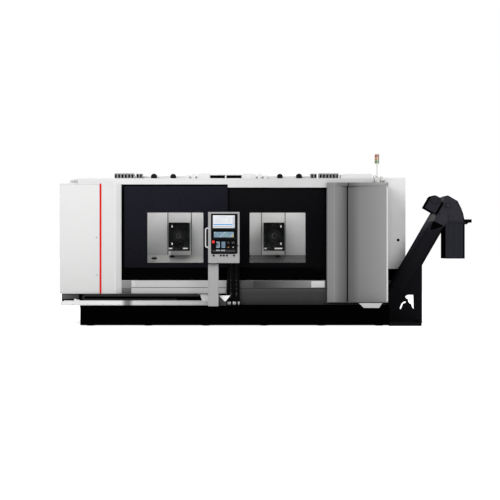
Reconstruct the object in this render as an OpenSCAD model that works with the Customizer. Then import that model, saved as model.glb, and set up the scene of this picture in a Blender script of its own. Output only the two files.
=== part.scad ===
// Twin-cell horizontal machining centre: two mirrored work cells behind bypass sliding doors,
// a travelling control panel, an electrical cabinet, roof equipment and a chip conveyor.
// Millimetres. +X runs along the front to the conveyor, +Y to the rear, +Z up.
// The origin is on the floor under the middle of the whole machine.

/* [Front layout] */
// Width of the access door at the left end
access_w = 764; // [500:1:1100]
// Width of the coloured trim beside the access door
trim_w = 36; // [15:1:80]
// Width of the fixed corner cover, with its bent return
corner_w = 369; // [250:1:600]
// Width that both sliding doors close together
opening_w = 3940; // [3500:1:5000]
// Width of the left sliding door
left_door_w = 2043; // [1750:1:2500]
// Width by which the left door laps over the right one
door_lap = 40; // [20:1:80]
// Width of the electrical cabinet
cabinet_w = 1170; // [900:1:1600]
// Distance of the mirror line of the two cells from the left end
mirror_line = 3188; // [2900:1:3600]

/* [Levels] */
// Height of the levelling feet
feet_h = 15; // [15:1:60]
// Height of the top of the bed
bed_top = 390; // [300:1:500]
// Height of the front rail beam
rail_h = 80; // [60:1:110]
// Height of the open slot for the energy chain
slot_h = 137; // [110:1:200]
// Height of the apron under the doors
apron_h = 251; // [180:1:320]
// Height from the door sill to the underside of the left fascia
door_view_h = 1842; // [1500:1:2100]
// How much lower the fascia reaches over the right door
fascia_step = 60; // [20:1:120]
// Height of the fascia above the left door
fascia_h = 115; // [80:1:180]

/* [Depths] */
// Depth from the front face of the outer door to the rear wall
cabin_depth = 2620; // [2200:1:3400]
// How far the left end cover and the cabinet stand in front of the doors
front_proud = 120; // [80:1:200]
// Thickness of a sliding door
door_t = 45; // [35:1:60]
// Gap between the planes of the two sliding doors
door_plane_gap = 15; // [8:1:40]
// Depth of the electrical cabinet behind its doors
cabinet_depth = 430; // [300:1:440]
// Depth of the cupboard behind the access door
cupboard_depth = 420; // [200:1:700]

/* [Windows] */
// Width of a door window
window_w = 1073; // [700:1:1300]
// Height of a door window
window_h = 960; // [600:1:1200]
// Height of the lower edge of the windows above the sill
window_sill = 340; // [250:1:500]
// Radius of the window corners
window_r = 12; // [10:1:80]
// Distance between the middles of the two windows
window_pitch = 1966; // [1800:1:2200]

/* [Cells] */
// Distance between the two spindle axes
spindle_pitch = 1876; // [1800:1:2000]
// Height of the spindle axes above the floor
spindle_z = 1714; // [1650:1:1800]
// Inside width of a work cell
cell_w = 1300; // [1150:1:1500]
// Depth of the back wall of a cell behind the outer door face
cell_depth = 950; // [850:1:1100]
// Height of the inside top of a cell
cell_top = 2600; // [2450:1:2650]
// Width of the slot in the back wall that the head slide closes
slot_w = 460; // [440:1:560]
// Width of the black spindle box
ram_box_w = 398; // [360:1:430]
// Height of the black spindle box
ram_box_h = 558; // [450:1:600]
// Depth of the spindle box
ram_box_d = 430; // [300:1:450]
// Side of the square ram behind the spindle box
ram_side = 300; // [220:1:340]
// Forward travel of the ram
ram_travel = 260; // [150:1:300]
// Upward travel of the head from rest
head_up = 350; // [250:1:420]
// Downward travel of the head from rest
head_down = 60; // [20:1:60]
// Radius of the spindle
spindle_r = 55; // [40:1:80]
// Width of a work table
table_w = 560; // [400:1:640]
// Depth of a work table
table_d = 300; // [220:1:330]
// Height of the top of the work tables
table_z = 1090; // [1020:1:1130]
// Travel of a table to each side
table_travel = 250; // [100:1:300]

/* [Control panel] */
// Width of the panel housing
panel_w = 591; // [560:1:700]
// Height of the panel housing
panel_h = 958; // [930:1:1100]
// Depth of the panel housing
panel_d = 140; // [100:1:180]
// Height of the bottom of the panel housing
panel_z = 1200; // [1050:1:1300]
// Distance of the front of the panel housing before the outer door face
panel_reach = 480; // [440:1:560]
// Width of the rack units in the panel, the 19 inch standard
rack_w = 483; // [450:1:520]
// Width of the pillar under the panel
pillar_w = 194; // [150:1:240]

/* [Chip conveyor] */
// Inside slope of the rising run, in degrees
incline = 60; // [50:1:65]
// Height of the conveyor casing across its run
casing_h = 300; // [240:1:340]
// Width of the conveyor casing
casing_w = 500; // [350:1:520]
// Height of the middle of the level run
run_z = 190; // [180:1:200]
// Height of the head sprocket shaft
head_z = 2304; // [2000:1:2500]
// Radius of the bend between the two runs
bend_r = 700; // [500:1:800]
// Width of the discharge chute
chute_w = 376; // [340:1:520]
// Height of the lower edge of the chute
chute_z = 1268; // [1000:1:1500]

/* [Hidden] */
$fn = 48;

// clearances
run_gap = 0.05;      // radial gap of a pin or shaft in its bore
slide_gap = 0.4;     // gap on each side of a flat guide
seat_gap = 0.3;      // gap between a moving part and what it rests on
part_gap = 3;        // visible joint between covers
over = 1;            // how far a cut runs past a face

// along X, from the left end
conveyor_knee = access_w + trim_w + corner_w + opening_w + cabinet_w + 19;
head_run = (head_z - run_z) / tan(incline);
chute_offset = 150;
bracket_w = 149;
overall_len = conveyor_knee + head_run + chute_offset + chute_w / 2 + bracket_w;
x_end = -overall_len / 2;
x_trim = x_end + access_w;
x_corner = x_trim + trim_w;
x_cell = x_corner + corner_w;
x_meet = x_cell + left_door_w;
x_cab = x_cell + opening_w;
x_cab_end = x_cab + cabinet_w;
x_line = x_end + mirror_line;
x_knee = x_end + conveyor_knee;
x_head = x_knee + head_run;
x_bed = x_end + 412;
right_door_w = opening_w - left_door_w + door_lap;
right_door_x = x_cab - right_door_w;

// along Y, from the front face of the outer door
plate_t = 5;
stop_h = 42;
front_reach = panel_reach + plate_t + stop_h;
overall_depth = front_reach + cabin_depth;
y_door = -overall_depth / 2 + front_reach;
y_inner = y_door + door_t + door_plane_gap;
y_frame = y_inner + door_t + 10;
y_proud = y_door - front_proud;
y_wall = y_door + cell_depth;
wall_t = 15;
y_slide = y_wall + wall_t + 5;
y_column = y_slide + 640;
y_back = y_door + cabin_depth;
y_conv = y_door + 450;
y_conv_end = y_conv + casing_w;
y_sill = y_door - 4;
y_cab = y_door - 12;
y_rail = [y_door - 300, y_door - 180];
y_panel = y_door - panel_reach;

// along Z
z_rail = bed_top + rail_h;
z_apron = z_rail + slot_h;
z_sill = z_apron + apron_h;
z_left_fascia = z_sill + door_view_h;
z_right_fascia = z_left_fascia - fascia_step;
z_roof = z_left_fascia + fascia_h;
z_door = z_sill + 10;
z_door_top = z_left_fascia + 25;
z_window = z_sill + window_sill;
z_cab = bed_top + 42;
z_cab_top = z_roof - 83;
z_housing_top = z_left_fascia + 11;
z_roof_plate = z_roof - 20;
z_sheet = z_roof - 42;

// trolley of the control panel at rest
carriage_x = x_line - 249;
carriage_top = 564;
carriage_foot = 439;

// colours
white_paint = "#e6e6e6";
grey_paint = "#a9a9a9";
blue_black = "#22232d";
black_paint = "#161617";
anthracite = "#2c2c33";
steel = "#b4b6b8";

// ---------- helpers ----------

// a block between pairs of coordinates
module span(x, y, z) {
    translate([x[0], y[0], z[0]]) cube([x[1] - x[0], y[1] - y[0], z[1] - z[0]]);
}

// a profile drawn in (y, z), carried along X
module along_x(x) {
    translate([x[0], 0, 0]) rotate([90, 0, 90]) linear_extrude(x[1] - x[0]) children();
}

// a profile drawn in (x, z), carried along Y
module along_y(y) {
    translate([0, y[1], 0]) rotate([90, 0, 0]) linear_extrude(y[1] - y[0]) children();
}

// a round bar along Y
module bar_y(x, z, y, r) {
    translate([x, y[0], z]) rotate([-90, 0, 0]) cylinder(r = r, h = y[1] - y[0]);
}

// a round bar along X
module bar_x(y, z, x, r) {
    translate([x[0], y, z]) rotate([0, 90, 0]) cylinder(r = r, h = x[1] - x[0]);
}

// a rectangle with true round corners, its lower left corner at the origin
module round_rect(w, h, r) {
    translate([r, 0]) square([w - 2 * r, h]);
    translate([0, r]) square([w, h - 2 * r]);
    for (x = [r, w - r], y = [r, h - r]) translate([x, y]) circle(r = r);
}

// ---------- base ----------

// profile of the bed: plinth, step for the rail and shelf for the aprons
module bed_profile() {
    toe = 40;
    polygon([
        [y_rail[0] + toe, feet_h],
        [y_rail[0] + toe, bed_top - 60],
        [y_rail[0], bed_top - 20],
        [y_rail[0], bed_top],
        [y_back - 120, bed_top],
        [y_back - 120, feet_h],
    ]);
}

module machine_bed() {
    rib = 90;
    pocket_n = 7;
    pocket_pitch = (x_cab_end - x_bed - rib) / pocket_n;
    color(black_paint) difference() {
        along_x([x_bed, x_cab_end]) bed_profile();
        // tunnel for the chip conveyor, open at the right end
        span([tail_x - 60, x_cab_end + over], [y_conv - 12, y_conv_end + 12], [feet_h - over, bed_top - 28]);
        // chip openings under the cells
        for (s = [-1, 1])
            span([cell_x(s) - drop_w / 2, cell_x(s) + drop_w / 2], [y_drop, y_drop + drop_d],
                 [bed_top - 28 - over, bed_top + over]);
        // clear way under the rising run at the right end
        span([bend_start - 60, x_cab_end + over], [y_conv - 12, y_conv_end + 12], [bed_top - 29, bed_top + over]);
        // ribbed pockets in the rear wall of the casting
        for (i = [0:pocket_n - 1])
            span([x_bed + rib + i * pocket_pitch, x_bed + (i + 1) * pocket_pitch],
                 [y_back - 220, y_back - 120 + over], [feet_h + 70, bed_top - 70]);
    }
    // plinth under the left end and the aprons, set back behind the open slot
    color(black_paint) {
        span([x_end + 24, x_cell], [y_door + 10, y_door + 1200], [bed_top - 1, z_apron]);
        span([x_cell - 1, x_line - 4], [y_door + 10, y_frame - 2], [bed_top - 1, z_apron]);
    }
}

module leveling_feet() {
    foot_n = 6;
    first = x_bed + 180;
    pitch = (x_cab_end - 180 - first) / (foot_n - 1);
    color(steel)
    for (i = [0:foot_n - 1], y = [y_rail[0] + 180, y_back - 260])
        translate([first + i * pitch, y, 0]) rotate_extrude()
            polygon([[0, 0], [70, 0], [70, 8], [34, 12], [34, feet_h], [0, feet_h]]);
}

// beam with a guide rib on top, on which the control panel travels
module front_rail() {
    x = [x_end + 40, x_line - 6];
    rib_w = 34;
    rib_h = 14;
    mid = (y_rail[0] + y_rail[1]) / 2;
    color(white_paint) difference() {
        union() {
            span(x, y_rail, [bed_top, z_rail]);
            span([x[0] + 60, x[1] - 20], [mid - rib_w / 2, mid + rib_w / 2], [z_rail, z_rail + rib_h]);
            // end stop of the trolley
            span([x_end + 318, x_end + 392], [mid - 30, mid + 30], [z_rail - 1, z_rail + 30]);
        }
        // folded front edge and the long relief under it
        along_x([x[0] - over, x[1] + over])
            polygon([[y_rail[0] - over, bed_top - over], [y_rail[0] + 14, bed_top - over],
                     [y_rail[0] - over, bed_top + 14]]);
        // relief in the rear half of the beam
        span([x[0] + 40, x[1] - 40], [y_rail[1] - 34, y_rail[1] - 6], [bed_top + 20, z_rail + over]);
    }
    // tray behind the beam, in which the energy chain lies
    color(white_paint) difference() {
        span([x_bed, x_line - 6], [y_rail[1], chain_y[1] + 12], [bed_top, z_rail]);
        span([x_bed - over, x_line], [y_rail[1] + 8, chain_y[1] + 4], [bed_top - over, z_rail - 6]);
    }
}

chain_link = 58;
chain_h = 42;
chain_y = [y_door - 160, y_door - 70];
chain_low = z_rail + seat_gap;
chain_high = z_apron - 8 - chain_h;
chain_turn_x = x_end + 500;
chain_high_n = floor((carriage_x - carriage_foot / 2 - 20 - chain_turn_x) / chain_link);

// roller chain of plastic links that carries the panel's cables: two strands and a half turn
module energy_chain() {
    low_n = floor((x_line - 900 - chain_turn_x) / chain_link);
    mid_z = (chain_low + chain_high + chain_h) / 2;
    turn_r = mid_z - chain_low;
    color("#6d7074") {
        for (i = [0:low_n - 1]) chain_piece(chain_turn_x + i * chain_link, chain_low);
        for (i = [0:chain_high_n - 1]) chain_piece(chain_turn_x + i * chain_link, chain_high);
        along_y([chain_y[0] + 5, chain_y[1] - 5]) translate([chain_turn_x, mid_z]) difference() {
            circle(r = turn_r);
            circle(r = turn_r - chain_h + 6);
            translate([0, -turn_r]) square(2 * turn_r);
        }
    }
}

module chain_piece(x, z) {
    waist = 5;
    span([x, x + chain_link], [chain_y[0] + 6, chain_y[1] - 6], [z + waist, z + chain_h - waist]);
    span([x + 6, x + chain_link - 6], chain_y, [z, z + chain_h]);
}

// ---------- aprons ----------

z_fold = z_apron + 109;

// folded light panel under the left door
module left_apron() {
    x = [x_cell + 4, x_line - 4];
    color(grey_paint) difference() {
        along_x(x) polygon([
            [y_door - 40, z_apron],
            [y_door - 40, z_fold],
            [y_door - 26, z_fold + 8],
            [y_door - 26, z_sill],
            [y_sill, z_sill],
            [y_sill, z_apron],
        ]);
        // open back of the folded sheet
        span([x[0] + 12, x[1] - 12], [y_door - 20, y_sill + over], [z_apron + 12, z_sill - 12]);
    }
}

// dark panel under the right door, sloped back to the bed
module right_apron() {
    x = [x_line + 254, x_cab - 4];
    color("#5b5b5d") along_x(x) polygon([
        [y_door - 40, z_apron + 103],
        [y_door - 40, z_sill - 6],
        [y_door - 34, z_sill],
        [y_sill, z_sill],
        [y_sill, z_sill - 64],
        [y_door + 26, z_sill - 64],
        [y_door + 26, bed_top],
        [y_door + 6, bed_top],
        [y_door - 22, z_apron + 95],
    ]);
}

// black duct between the two aprons that holds the two hoses
post_x = [x_line + 10, x_line + 250];
module utility_post() {
    y = [y_door - 118, y_door - 8];
    color(black_paint) difference() {
        union() {
            along_x(post_x) polygon([
                [y[0] + 40, bed_top], [y[0], bed_top + 60], [y[0], panel_z + 130],
                [y[0] + 30, panel_z + 160], [y[1], panel_z + 160], [y[1], bed_top],
            ]);
            for (x = hose_x) hose_holder(x, y[0]);
        }
        span([post_x[0] + 12, post_x[1] - 12], [y[0] + 12, y[1] + over], [bed_top + 70, panel_z + 100]);
    }
}

hose_x = [post_x[0] + 72, post_x[0] + 178];
hose_r = 13;
hose_y = y_door - 152;
hose_top = z_sill + 292;
hose_foot = z_rail + 66;

// forked bracket for the hose end above, and the fitting that the hose leaves from below
module hose_holder(x, y) {
    difference() {
        span([x - 24, x + 24], [y - 52, y + 1], [hose_top - 22, hose_top]);
        translate([x, hose_y, hose_top - 40]) cylinder(r = hose_r + 4, h = 80);
        span([x - 9, x + 9], [y - 60, hose_y], [hose_top - 40, hose_top + 40]);
    }
    span([x - 18, x + 18], [y - 50, y + 1], [hose_foot - 26, hose_foot]);
}

// rinsing and air hoses with their couplings, held upright on the post
module service_hoses() {
    color("#101011") for (x = hose_x) translate([x, hose_y, 0]) rotate_extrude() polygon([
        [0, hose_foot], [17, hose_foot], [17, hose_foot + 30], [hose_r, hose_foot + 34],
        [hose_r, hose_top - 70], [hose_r + 3, hose_top - 66], [hose_r + 3, hose_top], [24, hose_top],
        [24, hose_top + 12], [19, hose_top + 18], [19, hose_top + 52], [11, hose_top + 62], [0, hose_top + 62],
    ]);
}

// ---------- left end ----------

housing_t = 20;
door_pan = 25;
lip_h = 18;
pivot_in = 14;
pivot_pin_r = 6;

module left_end_housing() {
    y_front = y_proud + door_pan + 8;
    bend = 102;
    color(white_paint) {
        difference() {
            union() {
                // cupboard and side cover
                span([x_end, x_corner - part_gap], [y_front, y_door + 1300], [z_apron, z_housing_top]);
                // lips above and below the door, which carry its pivots
                span([x_end, x_corner - part_gap], [y_proud, y_front + 1], [z_apron, z_apron + lip_h]);
                span([x_end, x_corner - part_gap], [y_proud, y_front + 1], [z_housing_top - lip_h, z_housing_top]);
                // corner cover with its bent return to the doors
                translate([0, 0, z_apron]) linear_extrude(z_housing_top - z_apron) polygon([
                    [x_corner - part_gap - over, y_proud + 2], [x_cell - bend, y_proud + 2],
                    [x_cell, y_door - 6], [x_cell, y_door + 1300], [x_corner - part_gap - over, y_door + 1300],
                ]);
            }
            span([x_end + housing_t, x_trim - housing_t], [y_front - over, y_front + cupboard_depth],
                 [z_apron + 30, z_housing_top - 30]);
            // recessed service panel in the side
            span([x_end - over, x_end + 8], [y_door + 380, y_door + 1180], [z_apron + 140, z_housing_top - 180]);
            // groove that holds the trim strip
            span([x_trim + part_gap / 2, x_corner + over], [y_proud - over, y_proud + 10],
                 [z_apron - over, z_housing_top + over]);
        }
        // pivot pins and the cupboard shelves
        translate([x_end + pivot_in, y_proud + door_pan / 2, z_apron]) cylinder(r = pivot_pin_r, h = lip_h + 20);
        translate([x_end + pivot_in, y_proud + door_pan / 2, z_housing_top - lip_h - 20])
            cylinder(r = pivot_pin_r, h = lip_h + 20);
        for (k = [1, 2])
            span([x_end + housing_t - 1, x_trim - housing_t + 1], [y_front + 160, y_front + cupboard_depth + 1],
                 [z_apron + k * 640, z_apron + k * 640 + 12]);
    }
}

module red_trim() {
    color("#e23a2c") span([x_trim + part_gap / 2, x_corner - part_gap], [y_proud + 0.5, y_proud + 10],
                          [z_apron, z_housing_top]);
}

access_z = [z_apron + lip_h + 2, z_housing_top - lip_h - 2];
lock_x = x_trim - 56;
lock_z = [z_apron + 357, z_apron + 1079];
lock_r = 9;

module access_door() {
    x = [x_end + 2, x_trim - 2];
    color(white_paint) difference() {
        span(x, [y_proud, y_proud + door_pan], access_z);
        // hollow back of the pan
        span([x[0] + 40, lock_x - 40], [y_proud + 3, y_proud + door_pan + over],
             [access_z[0] + 40, access_z[1] - 40]);
        for (z = [access_z[0] - over, access_z[1] - 21])
            translate([x_end + pivot_in, y_proud + door_pan / 2, z]) cylinder(r = pivot_pin_r + run_gap, h = 22);
        for (z = lock_z) bar_y(lock_x, z, [y_proud - over, y_proud + door_pan + over], lock_r + run_gap);
    }
}

// quarter-turn lock: round barrel, driver slot and the tongue behind the door
module quarter_lock(z) {
    color("#55585c") difference() {
        union() {
            bar_y(lock_x, z, [y_proud - 1, y_proud + door_pan + 4], lock_r);
            bar_y(lock_x, z, [y_proud - 5, y_proud - seat_gap], 16);
            span([lock_x - 10, lock_x + 10], [y_proud + door_pan + seat_gap, y_proud + door_pan + 4],
                 [z - 10, z + 34]);
        }
        span([lock_x - 2.5, lock_x + 2.5], [y_proud - 6, y_proud - 2], [z - 11, z + 11]);
    }
}

module upper_lock() { quarter_lock(lock_z[1]); }
module lower_lock() { quarter_lock(lock_z[0]); }

// ---------- roof and rear ----------

door_rail_z = z_door_top + 16;

// folded header over the doors with the two hanging rails
module roof_fascia() {
    skin = 3;
    y_skin = y_door - 22;
    x_left = x_corner - 464;
    x_right = x_cab_end - 271;
    color("#98999b") {
        along_y([y_skin, y_skin + skin]) polygon([
            [x_left, z_housing_top], [x_cell, z_housing_top], [x_cell, z_left_fascia],
            [x_meet, z_left_fascia], [x_meet, z_right_fascia], [x_cab, z_right_fascia],
            [x_cab, z_cab_top], [x_right, z_cab_top], [x_right, z_roof], [x_left, z_roof],
        ]);
        span([x_left, x_right], [y_skin + 1, y_frame + 60], [z_roof_plate, z_roof]);
        for (y = [y_door, y_inner]) along_x([x_cell + 10, x_cab - 10]) translate([y + door_t / 2, 0]) {
            translate([-4, door_rail_z + 10]) square([8, z_roof_plate - door_rail_z - 9]);
            translate([-10, door_rail_z]) square([20, 14]);
        }
    }
}

// sheet-metal body behind the cells: roof, rear wall and service doors seams
module rear_housing() {
    x = [x_cell + 2, x_cab_end];
    seam_n = 6;
    pitch = (x[1] - x[0]) / seam_n;
    y0 = y_column + 30;
    color(white_paint) {
        difference() {
            union() {
                span(x, [y0, y_back], [bed_top, z_roof - 22]);
                span([x_end + 300, x_cell + 3], [y_door + 1302, y_back], [bed_top, z_housing_top]);
            }
            for (i = [1:seam_n - 1])
                span([x[0] + i * pitch - 3, x[0] + i * pitch + 3], [y_back - 8, y_back + over],
                     [bed_top + 60, z_roof - 80]);
            span([x[0] + 60, x[1] - 60], [y_back - 8, y_back + over], [z_sill + 700, z_sill + 706]);
            // recessed service panels
            for (i = [0:seam_n - 1], z = [[bed_top + 130, z_sill + 640], [z_sill + 770, z_roof - 150]])
                span([x[0] + i * pitch + 80, x[0] + (i + 1) * pitch - 80], [y_back - 14, y_back + over], z);
        }
        // roof sheet between the header and the rear body
        span([x_cell + 2, x_cab_end], [y_frame + 61, y0 + 1], [z_sheet, z_roof - 22]);
        span([x_cab_end - 20, x_cab_end], [y_conv_end + 40, y0 + 1], [z_cab, z_roof - 22]);
    }
}

end_x = [x_cab_end, x_cab_end + 503];
end_y = y_conv_end + 60;

// body at the right end above the pump, with a round service hole
module right_end_cover() {
    z = [z_sill + 198, z_roof + 50];
    color(white_paint) difference() {
        translate([0, 0, z[0]]) linear_extrude(z[1] - z[0]) difference() {
            square_span(end_x, [end_y, y_back - 60]);
            square_span([end_x[0] - over, end_x[1] - 22], [end_y + 22, y_back - 90]);
        }
        bar_y(x_cab_end + 356, z_sill + 775, [end_y - over, end_y + 40], 28);
        // recessed service panel in the side
        span([end_x[1] - 8, end_x[1] + over], [end_y + 130, y_back - 190], [z[0] + 130, z[1] - 170]);
    }
    color(white_paint) span(end_x, [end_y, y_back - 60], [z[1] - 1, z[1] + 18]);
}

module square_span(x, y) {
    translate([x[0], y[0]]) square([x[1] - x[0], y[1] - y[0]]);
}

// coolant pump: motor with cooling fins, pump head and its wall bracket
module pump_unit() {
    x = x_cab_end + 250;
    y = end_y + 190;
    z = z_sill - 40;
    color(black_paint) {
        translate([x, y, z]) cylinder(r = 132, h = 40);
        translate([x, y, z + 39]) cylinder(r = 108, h = 180);
        for (a = [0:15:345]) translate([x, y, z + 45]) rotate([0, 0, a]) translate([100, -3, 0]) cube([24, 6, 165]);
        translate([x, y, z + 218]) cylinder(r = 122, h = 20);
        span([x - 135, x + 135], [y - 135, y - 60], [z + 60, z + 236]);
        span([x_cab_end, x - 100], [y - 60, y + 60], [z + 8, z + 32]);
        translate([x_cab_end, y - 10, z - 132]) rotate([90, 0, 0]) linear_extrude(12)
            polygon([[0, 0], [90, 141], [0, 141]]);
    }
}

// ---------- electrical cabinet ----------

leaf_z = [z_cab + 10, z_cab_top - 66];
leaf_back = y_cab - part_gap;
seam_x = x_cab + 404;
flat_w = 144;
valley_d = 78;
leaf_pin_r = 8;
leaf_pin_in = 15;
leaf_pin_h = 30;

module cabinet_body() {
    x = [x_cab + 3, x_cab_end];
    wall = 18;
    color(white_paint) {
        difference() {
            union() {
                span(x, [y_cab, y_cab + cabinet_depth], [z_cab, z_cab_top]);
                span(x, [y_proud + 4, y_cab + 1], [z_cab - 12, z_cab + 6]);
                span(x, [y_proud, y_cab + 1], [z_cab_top - 62, z_cab_top]);
            }
            span([x[0] + wall, x[1] - wall], [y_cab - over, y_cab + cabinet_depth - wall],
                 [z_cab + 30, z_cab_top - 80]);
        }
        for (x = [x_cab + leaf_pin_in, x_cab_end - leaf_pin_in]) {
            translate([x, y_proud + leaf_pin_in, z_cab - 10])
                cylinder(r = leaf_pin_r, h = leaf_z[0] + leaf_pin_h - z_cab + 10);
            translate([x, y_proud + leaf_pin_in, leaf_z[1] - leaf_pin_h])
                cylinder(r = leaf_pin_r, h = leaf_pin_h + 20);
        }
        // mounting plate with rows of switchgear
        span([x[0] + 60, x[1] - 60], [y_cab + cabinet_depth - 60, y_cab + cabinet_depth - wall + 1],
             [z_cab + 120, z_cab_top - 180]);
        for (k = [0:4])
            span([x[0] + 110, x[1] - 110], [y_cab + cabinet_depth - 170, y_cab + cabinet_depth - 59],
                 [z_cab + 260 + k * 380, z_cab + 420 + k * 380]);
        // plinth on the bed
        span([x[0] + 20, x[1] - 40], [y_cab + 30, y_cab + cabinet_depth - 30], [bed_top, z_cab + 1]);
    }
}

// plan outline of the front of both leaves: flat, then a shallow valley along the seam
module leaf_plan(x) {
    left_run = seam_x - x_cab - flat_w;
    right_run = x_cab_end - 40 - seam_x;
    left_r = (left_run * left_run + valley_d * valley_d) / (2 * valley_d);
    right_r = (right_run * right_run + valley_d * valley_d) / (2 * valley_d);
    difference() {
        square_span(x, [y_proud, leaf_back]);
        // each half of the valley is an arc that leaves its flat smoothly
        intersection() {
            square_span([x_cab + flat_w, seam_x], [y_proud - 2 * over, leaf_back]);
            difference() {
                square_span([x_cab + flat_w, seam_x], [y_proud - 3 * over, leaf_back]);
                translate([x_cab + flat_w, y_proud + left_r]) circle(r = left_r, $fn = 180);
            }
        }
        intersection() {
            square_span([seam_x, x_cab_end - 40], [y_proud - 2 * over, leaf_back]);
            difference() {
                square_span([seam_x, x_cab_end - 40], [y_proud - 3 * over, leaf_back]);
                translate([x_cab_end - 40, y_proud + right_r]) circle(r = right_r, $fn = 180);
            }
        }
        // bevel of the outer edge
        polygon([[x_cab_end - 36, y_proud - over], [x_cab_end + over, y_proud - over],
                 [x_cab_end + over, y_proud + 30]]);
    }
}

module cabinet_leaf(x, pin_x, hollow) {
    color(grey_paint) difference() {
        translate([0, 0, leaf_z[0]]) linear_extrude(leaf_z[1] - leaf_z[0]) leaf_plan(x);
        for (z = [leaf_z[0] - over, leaf_z[1] - leaf_pin_h - 2])
            translate([pin_x, y_proud + leaf_pin_in, z]) cylinder(r = leaf_pin_r + run_gap, h = leaf_pin_h + 3);
        span(hollow, [leaf_back - 20, leaf_back + over], [leaf_z[0] + 50, leaf_z[1] - 50]);
    }
}

module cabinet_left_leaf() {
    cabinet_leaf([x_cab + 4, seam_x - part_gap], x_cab + leaf_pin_in, [x_cab + 40, seam_x - 40]);
}

module cabinet_right_leaf() {
    cabinet_leaf([seam_x + part_gap, x_cab_end], x_cab_end - leaf_pin_in, [seam_x + 40, x_cab_end - 40]);
}

// small parts tray hooked on the edge of the bed in front of the cabinet, tapered at its left end
module cabinet_tray() {
    x = [x_cab + 579, x_cab_end - 153];
    z = [bed_top - 40, bed_top + 48];
    depth = 70;
    color("#bdbdbd") difference() {
        along_y([y_rail[0] - depth, y_rail[0]]) polygon([
            [x[0], z[1]], [x[0] + 96, z[0]], [x[1] - 55, z[0]], [x[1], z[1]],
        ]);
        span([x[0] + 102, x[1] - 61], [y_rail[0] - depth + 5, y_rail[0] - 5], [z[0] + 5, z[1] + over]);
    }
}

// ---------- roof equipment ----------

roof_y = y_door + 60;

// finned cable guides over the outer ends of both cells
module roof_cable_guides() {
    color(black_paint) for (s = [-1, 1]) {
        guide(s, 1785, 2157, 103);
        guide(s, 1622, 1738, 96);
    }
}

module guide(s, near, far, h) {
    fin = 52;
    pitch = 64;
    fin_n = floor((far - near + pitch - fin) / pitch);
    lo = min(x_line + s * near, x_line + s * far);
    span([lo, lo + far - near], [roof_y + 20, roof_y + 240], [z_roof, z_roof + h - 22]);
    for (i = [0:fin_n - 1])
        span([lo + i * pitch, lo + i * pitch + fin], [roof_y, roof_y + 260], [z_roof, z_roof + h]);
}

// feed drives on the roof: motor barrels, pulley discs and their base plates
module roof_drives() {
    base = 1056;
    color("#8e9094") for (s = [-1, 1]) {
        lo = min(x_line + s * 566, x_line + s * (566 + base));
        span([lo, lo + base], [roof_y + 270, roof_y + 620], [z_roof - 22, z_roof + 60]);
        barrel(x_line + s * 1397, 36, 62);
        barrel(x_line + s * 1027, 36, 58);
        barrel(x_line + s * 637, 48, 48);
        span([x_line + s * 750 - 29, x_line + s * 750 + 29], [roof_y + 20, roof_y + 271], [z_roof, z_roof + 70]);
    }
}

// motor barrel lying along Y in its saddle on the roof
module barrel(x, h, r) {
    difference() {
        union() {
            bar_y(x, z_roof + h, [roof_y + 20, roof_y + 271], r);
            bar_y(x, z_roof + h, [roof_y + 8, roof_y + 21], r - 12);
        }
        span([x - r - over, x + r + over], [roof_y, roof_y + 280], [z_roof - r, z_roof]);
    }
    span([x - r * 0.7, x + r * 0.7], [roof_y + 60, roof_y + 250], [z_roof, z_roof + 20]);
}

// mist extraction unit over the middle, with two slotted outlets
module extraction_unit() {
    x = [x_line - 566, x_line + 566];
    color("#8a8b8d") difference() {
        union() {
            span(x, [roof_y + 10, roof_y + 560], [z_roof, z_roof + 86]);
            span([x[0] + 40, x[0] + 230], [roof_y, roof_y + 500], [z_roof, z_roof + 102]);
            span([x_line + 330, x_line + 500], [roof_y, roof_y + 500], [z_roof, z_roof + 94]);
        }
        for (lo = [x_line - 317, x_line])
            for (k = [0:2])
                span([lo, lo + 290], [roof_y - over, roof_y + 90], [z_roof + 10 + k * 22, z_roof + 22 + k * 22]);
    }
}

// flat box for coolant and air supply beside the signal tower
module fluid_box() {
    x = [x_cab + 285, x_cab_end - 290];
    color("#c9c9c9") {
        span(x, [roof_y, roof_y + 420], [z_roof, z_roof + 84]);
        span([x[0] + 20, x[1] - 20], [roof_y + 20, roof_y + 400], [z_roof + 83, z_roof + 92]);
    }
}

tower_x = x_cab_end - 188;

// stacked signal lamp on a tube
module signal_tower() {
    y = roof_y + 60;
    lens = 52;
    lens_z = z_roof + 298;
    color("#c8c8c8") translate([tower_x, y, 0]) {
        span([-52, 52], [-46, 46], [z_cab_top, z_roof + 25]);
        translate([0, 0, z_cab_top + 13]) cylinder(r = 12, h = lens_z - z_cab_top - 12);
        translate([0, 0, lens_z - 12]) cylinder(r = 36, h = 13);
        for (k = [0:2]) translate([0, 0, lens_z + k * (lens + 6)]) {
            cylinder(r = 41, h = lens + 1);
            translate([0, 0, lens]) cylinder(r = 37, h = 7);
        }
        translate([0, 0, lens_z + 3 * lens + 18]) rotate_extrude() polygon([[0, 0], [41, 0], [36, 9], [0, 12]]);
        // horn and valve beside the tube
        translate([84, 0, z_cab_top]) cylinder(r = 12, h = 84);
        translate([84, 0, z_cab_top + 83]) cylinder(r = 30, h = 46);
        span([0, 84], [-8, 8], [z_cab_top, z_cab_top + 10]);
    }
}

// ---------- doors ----------

runner_w = 110;
runner_h = 52;

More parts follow.
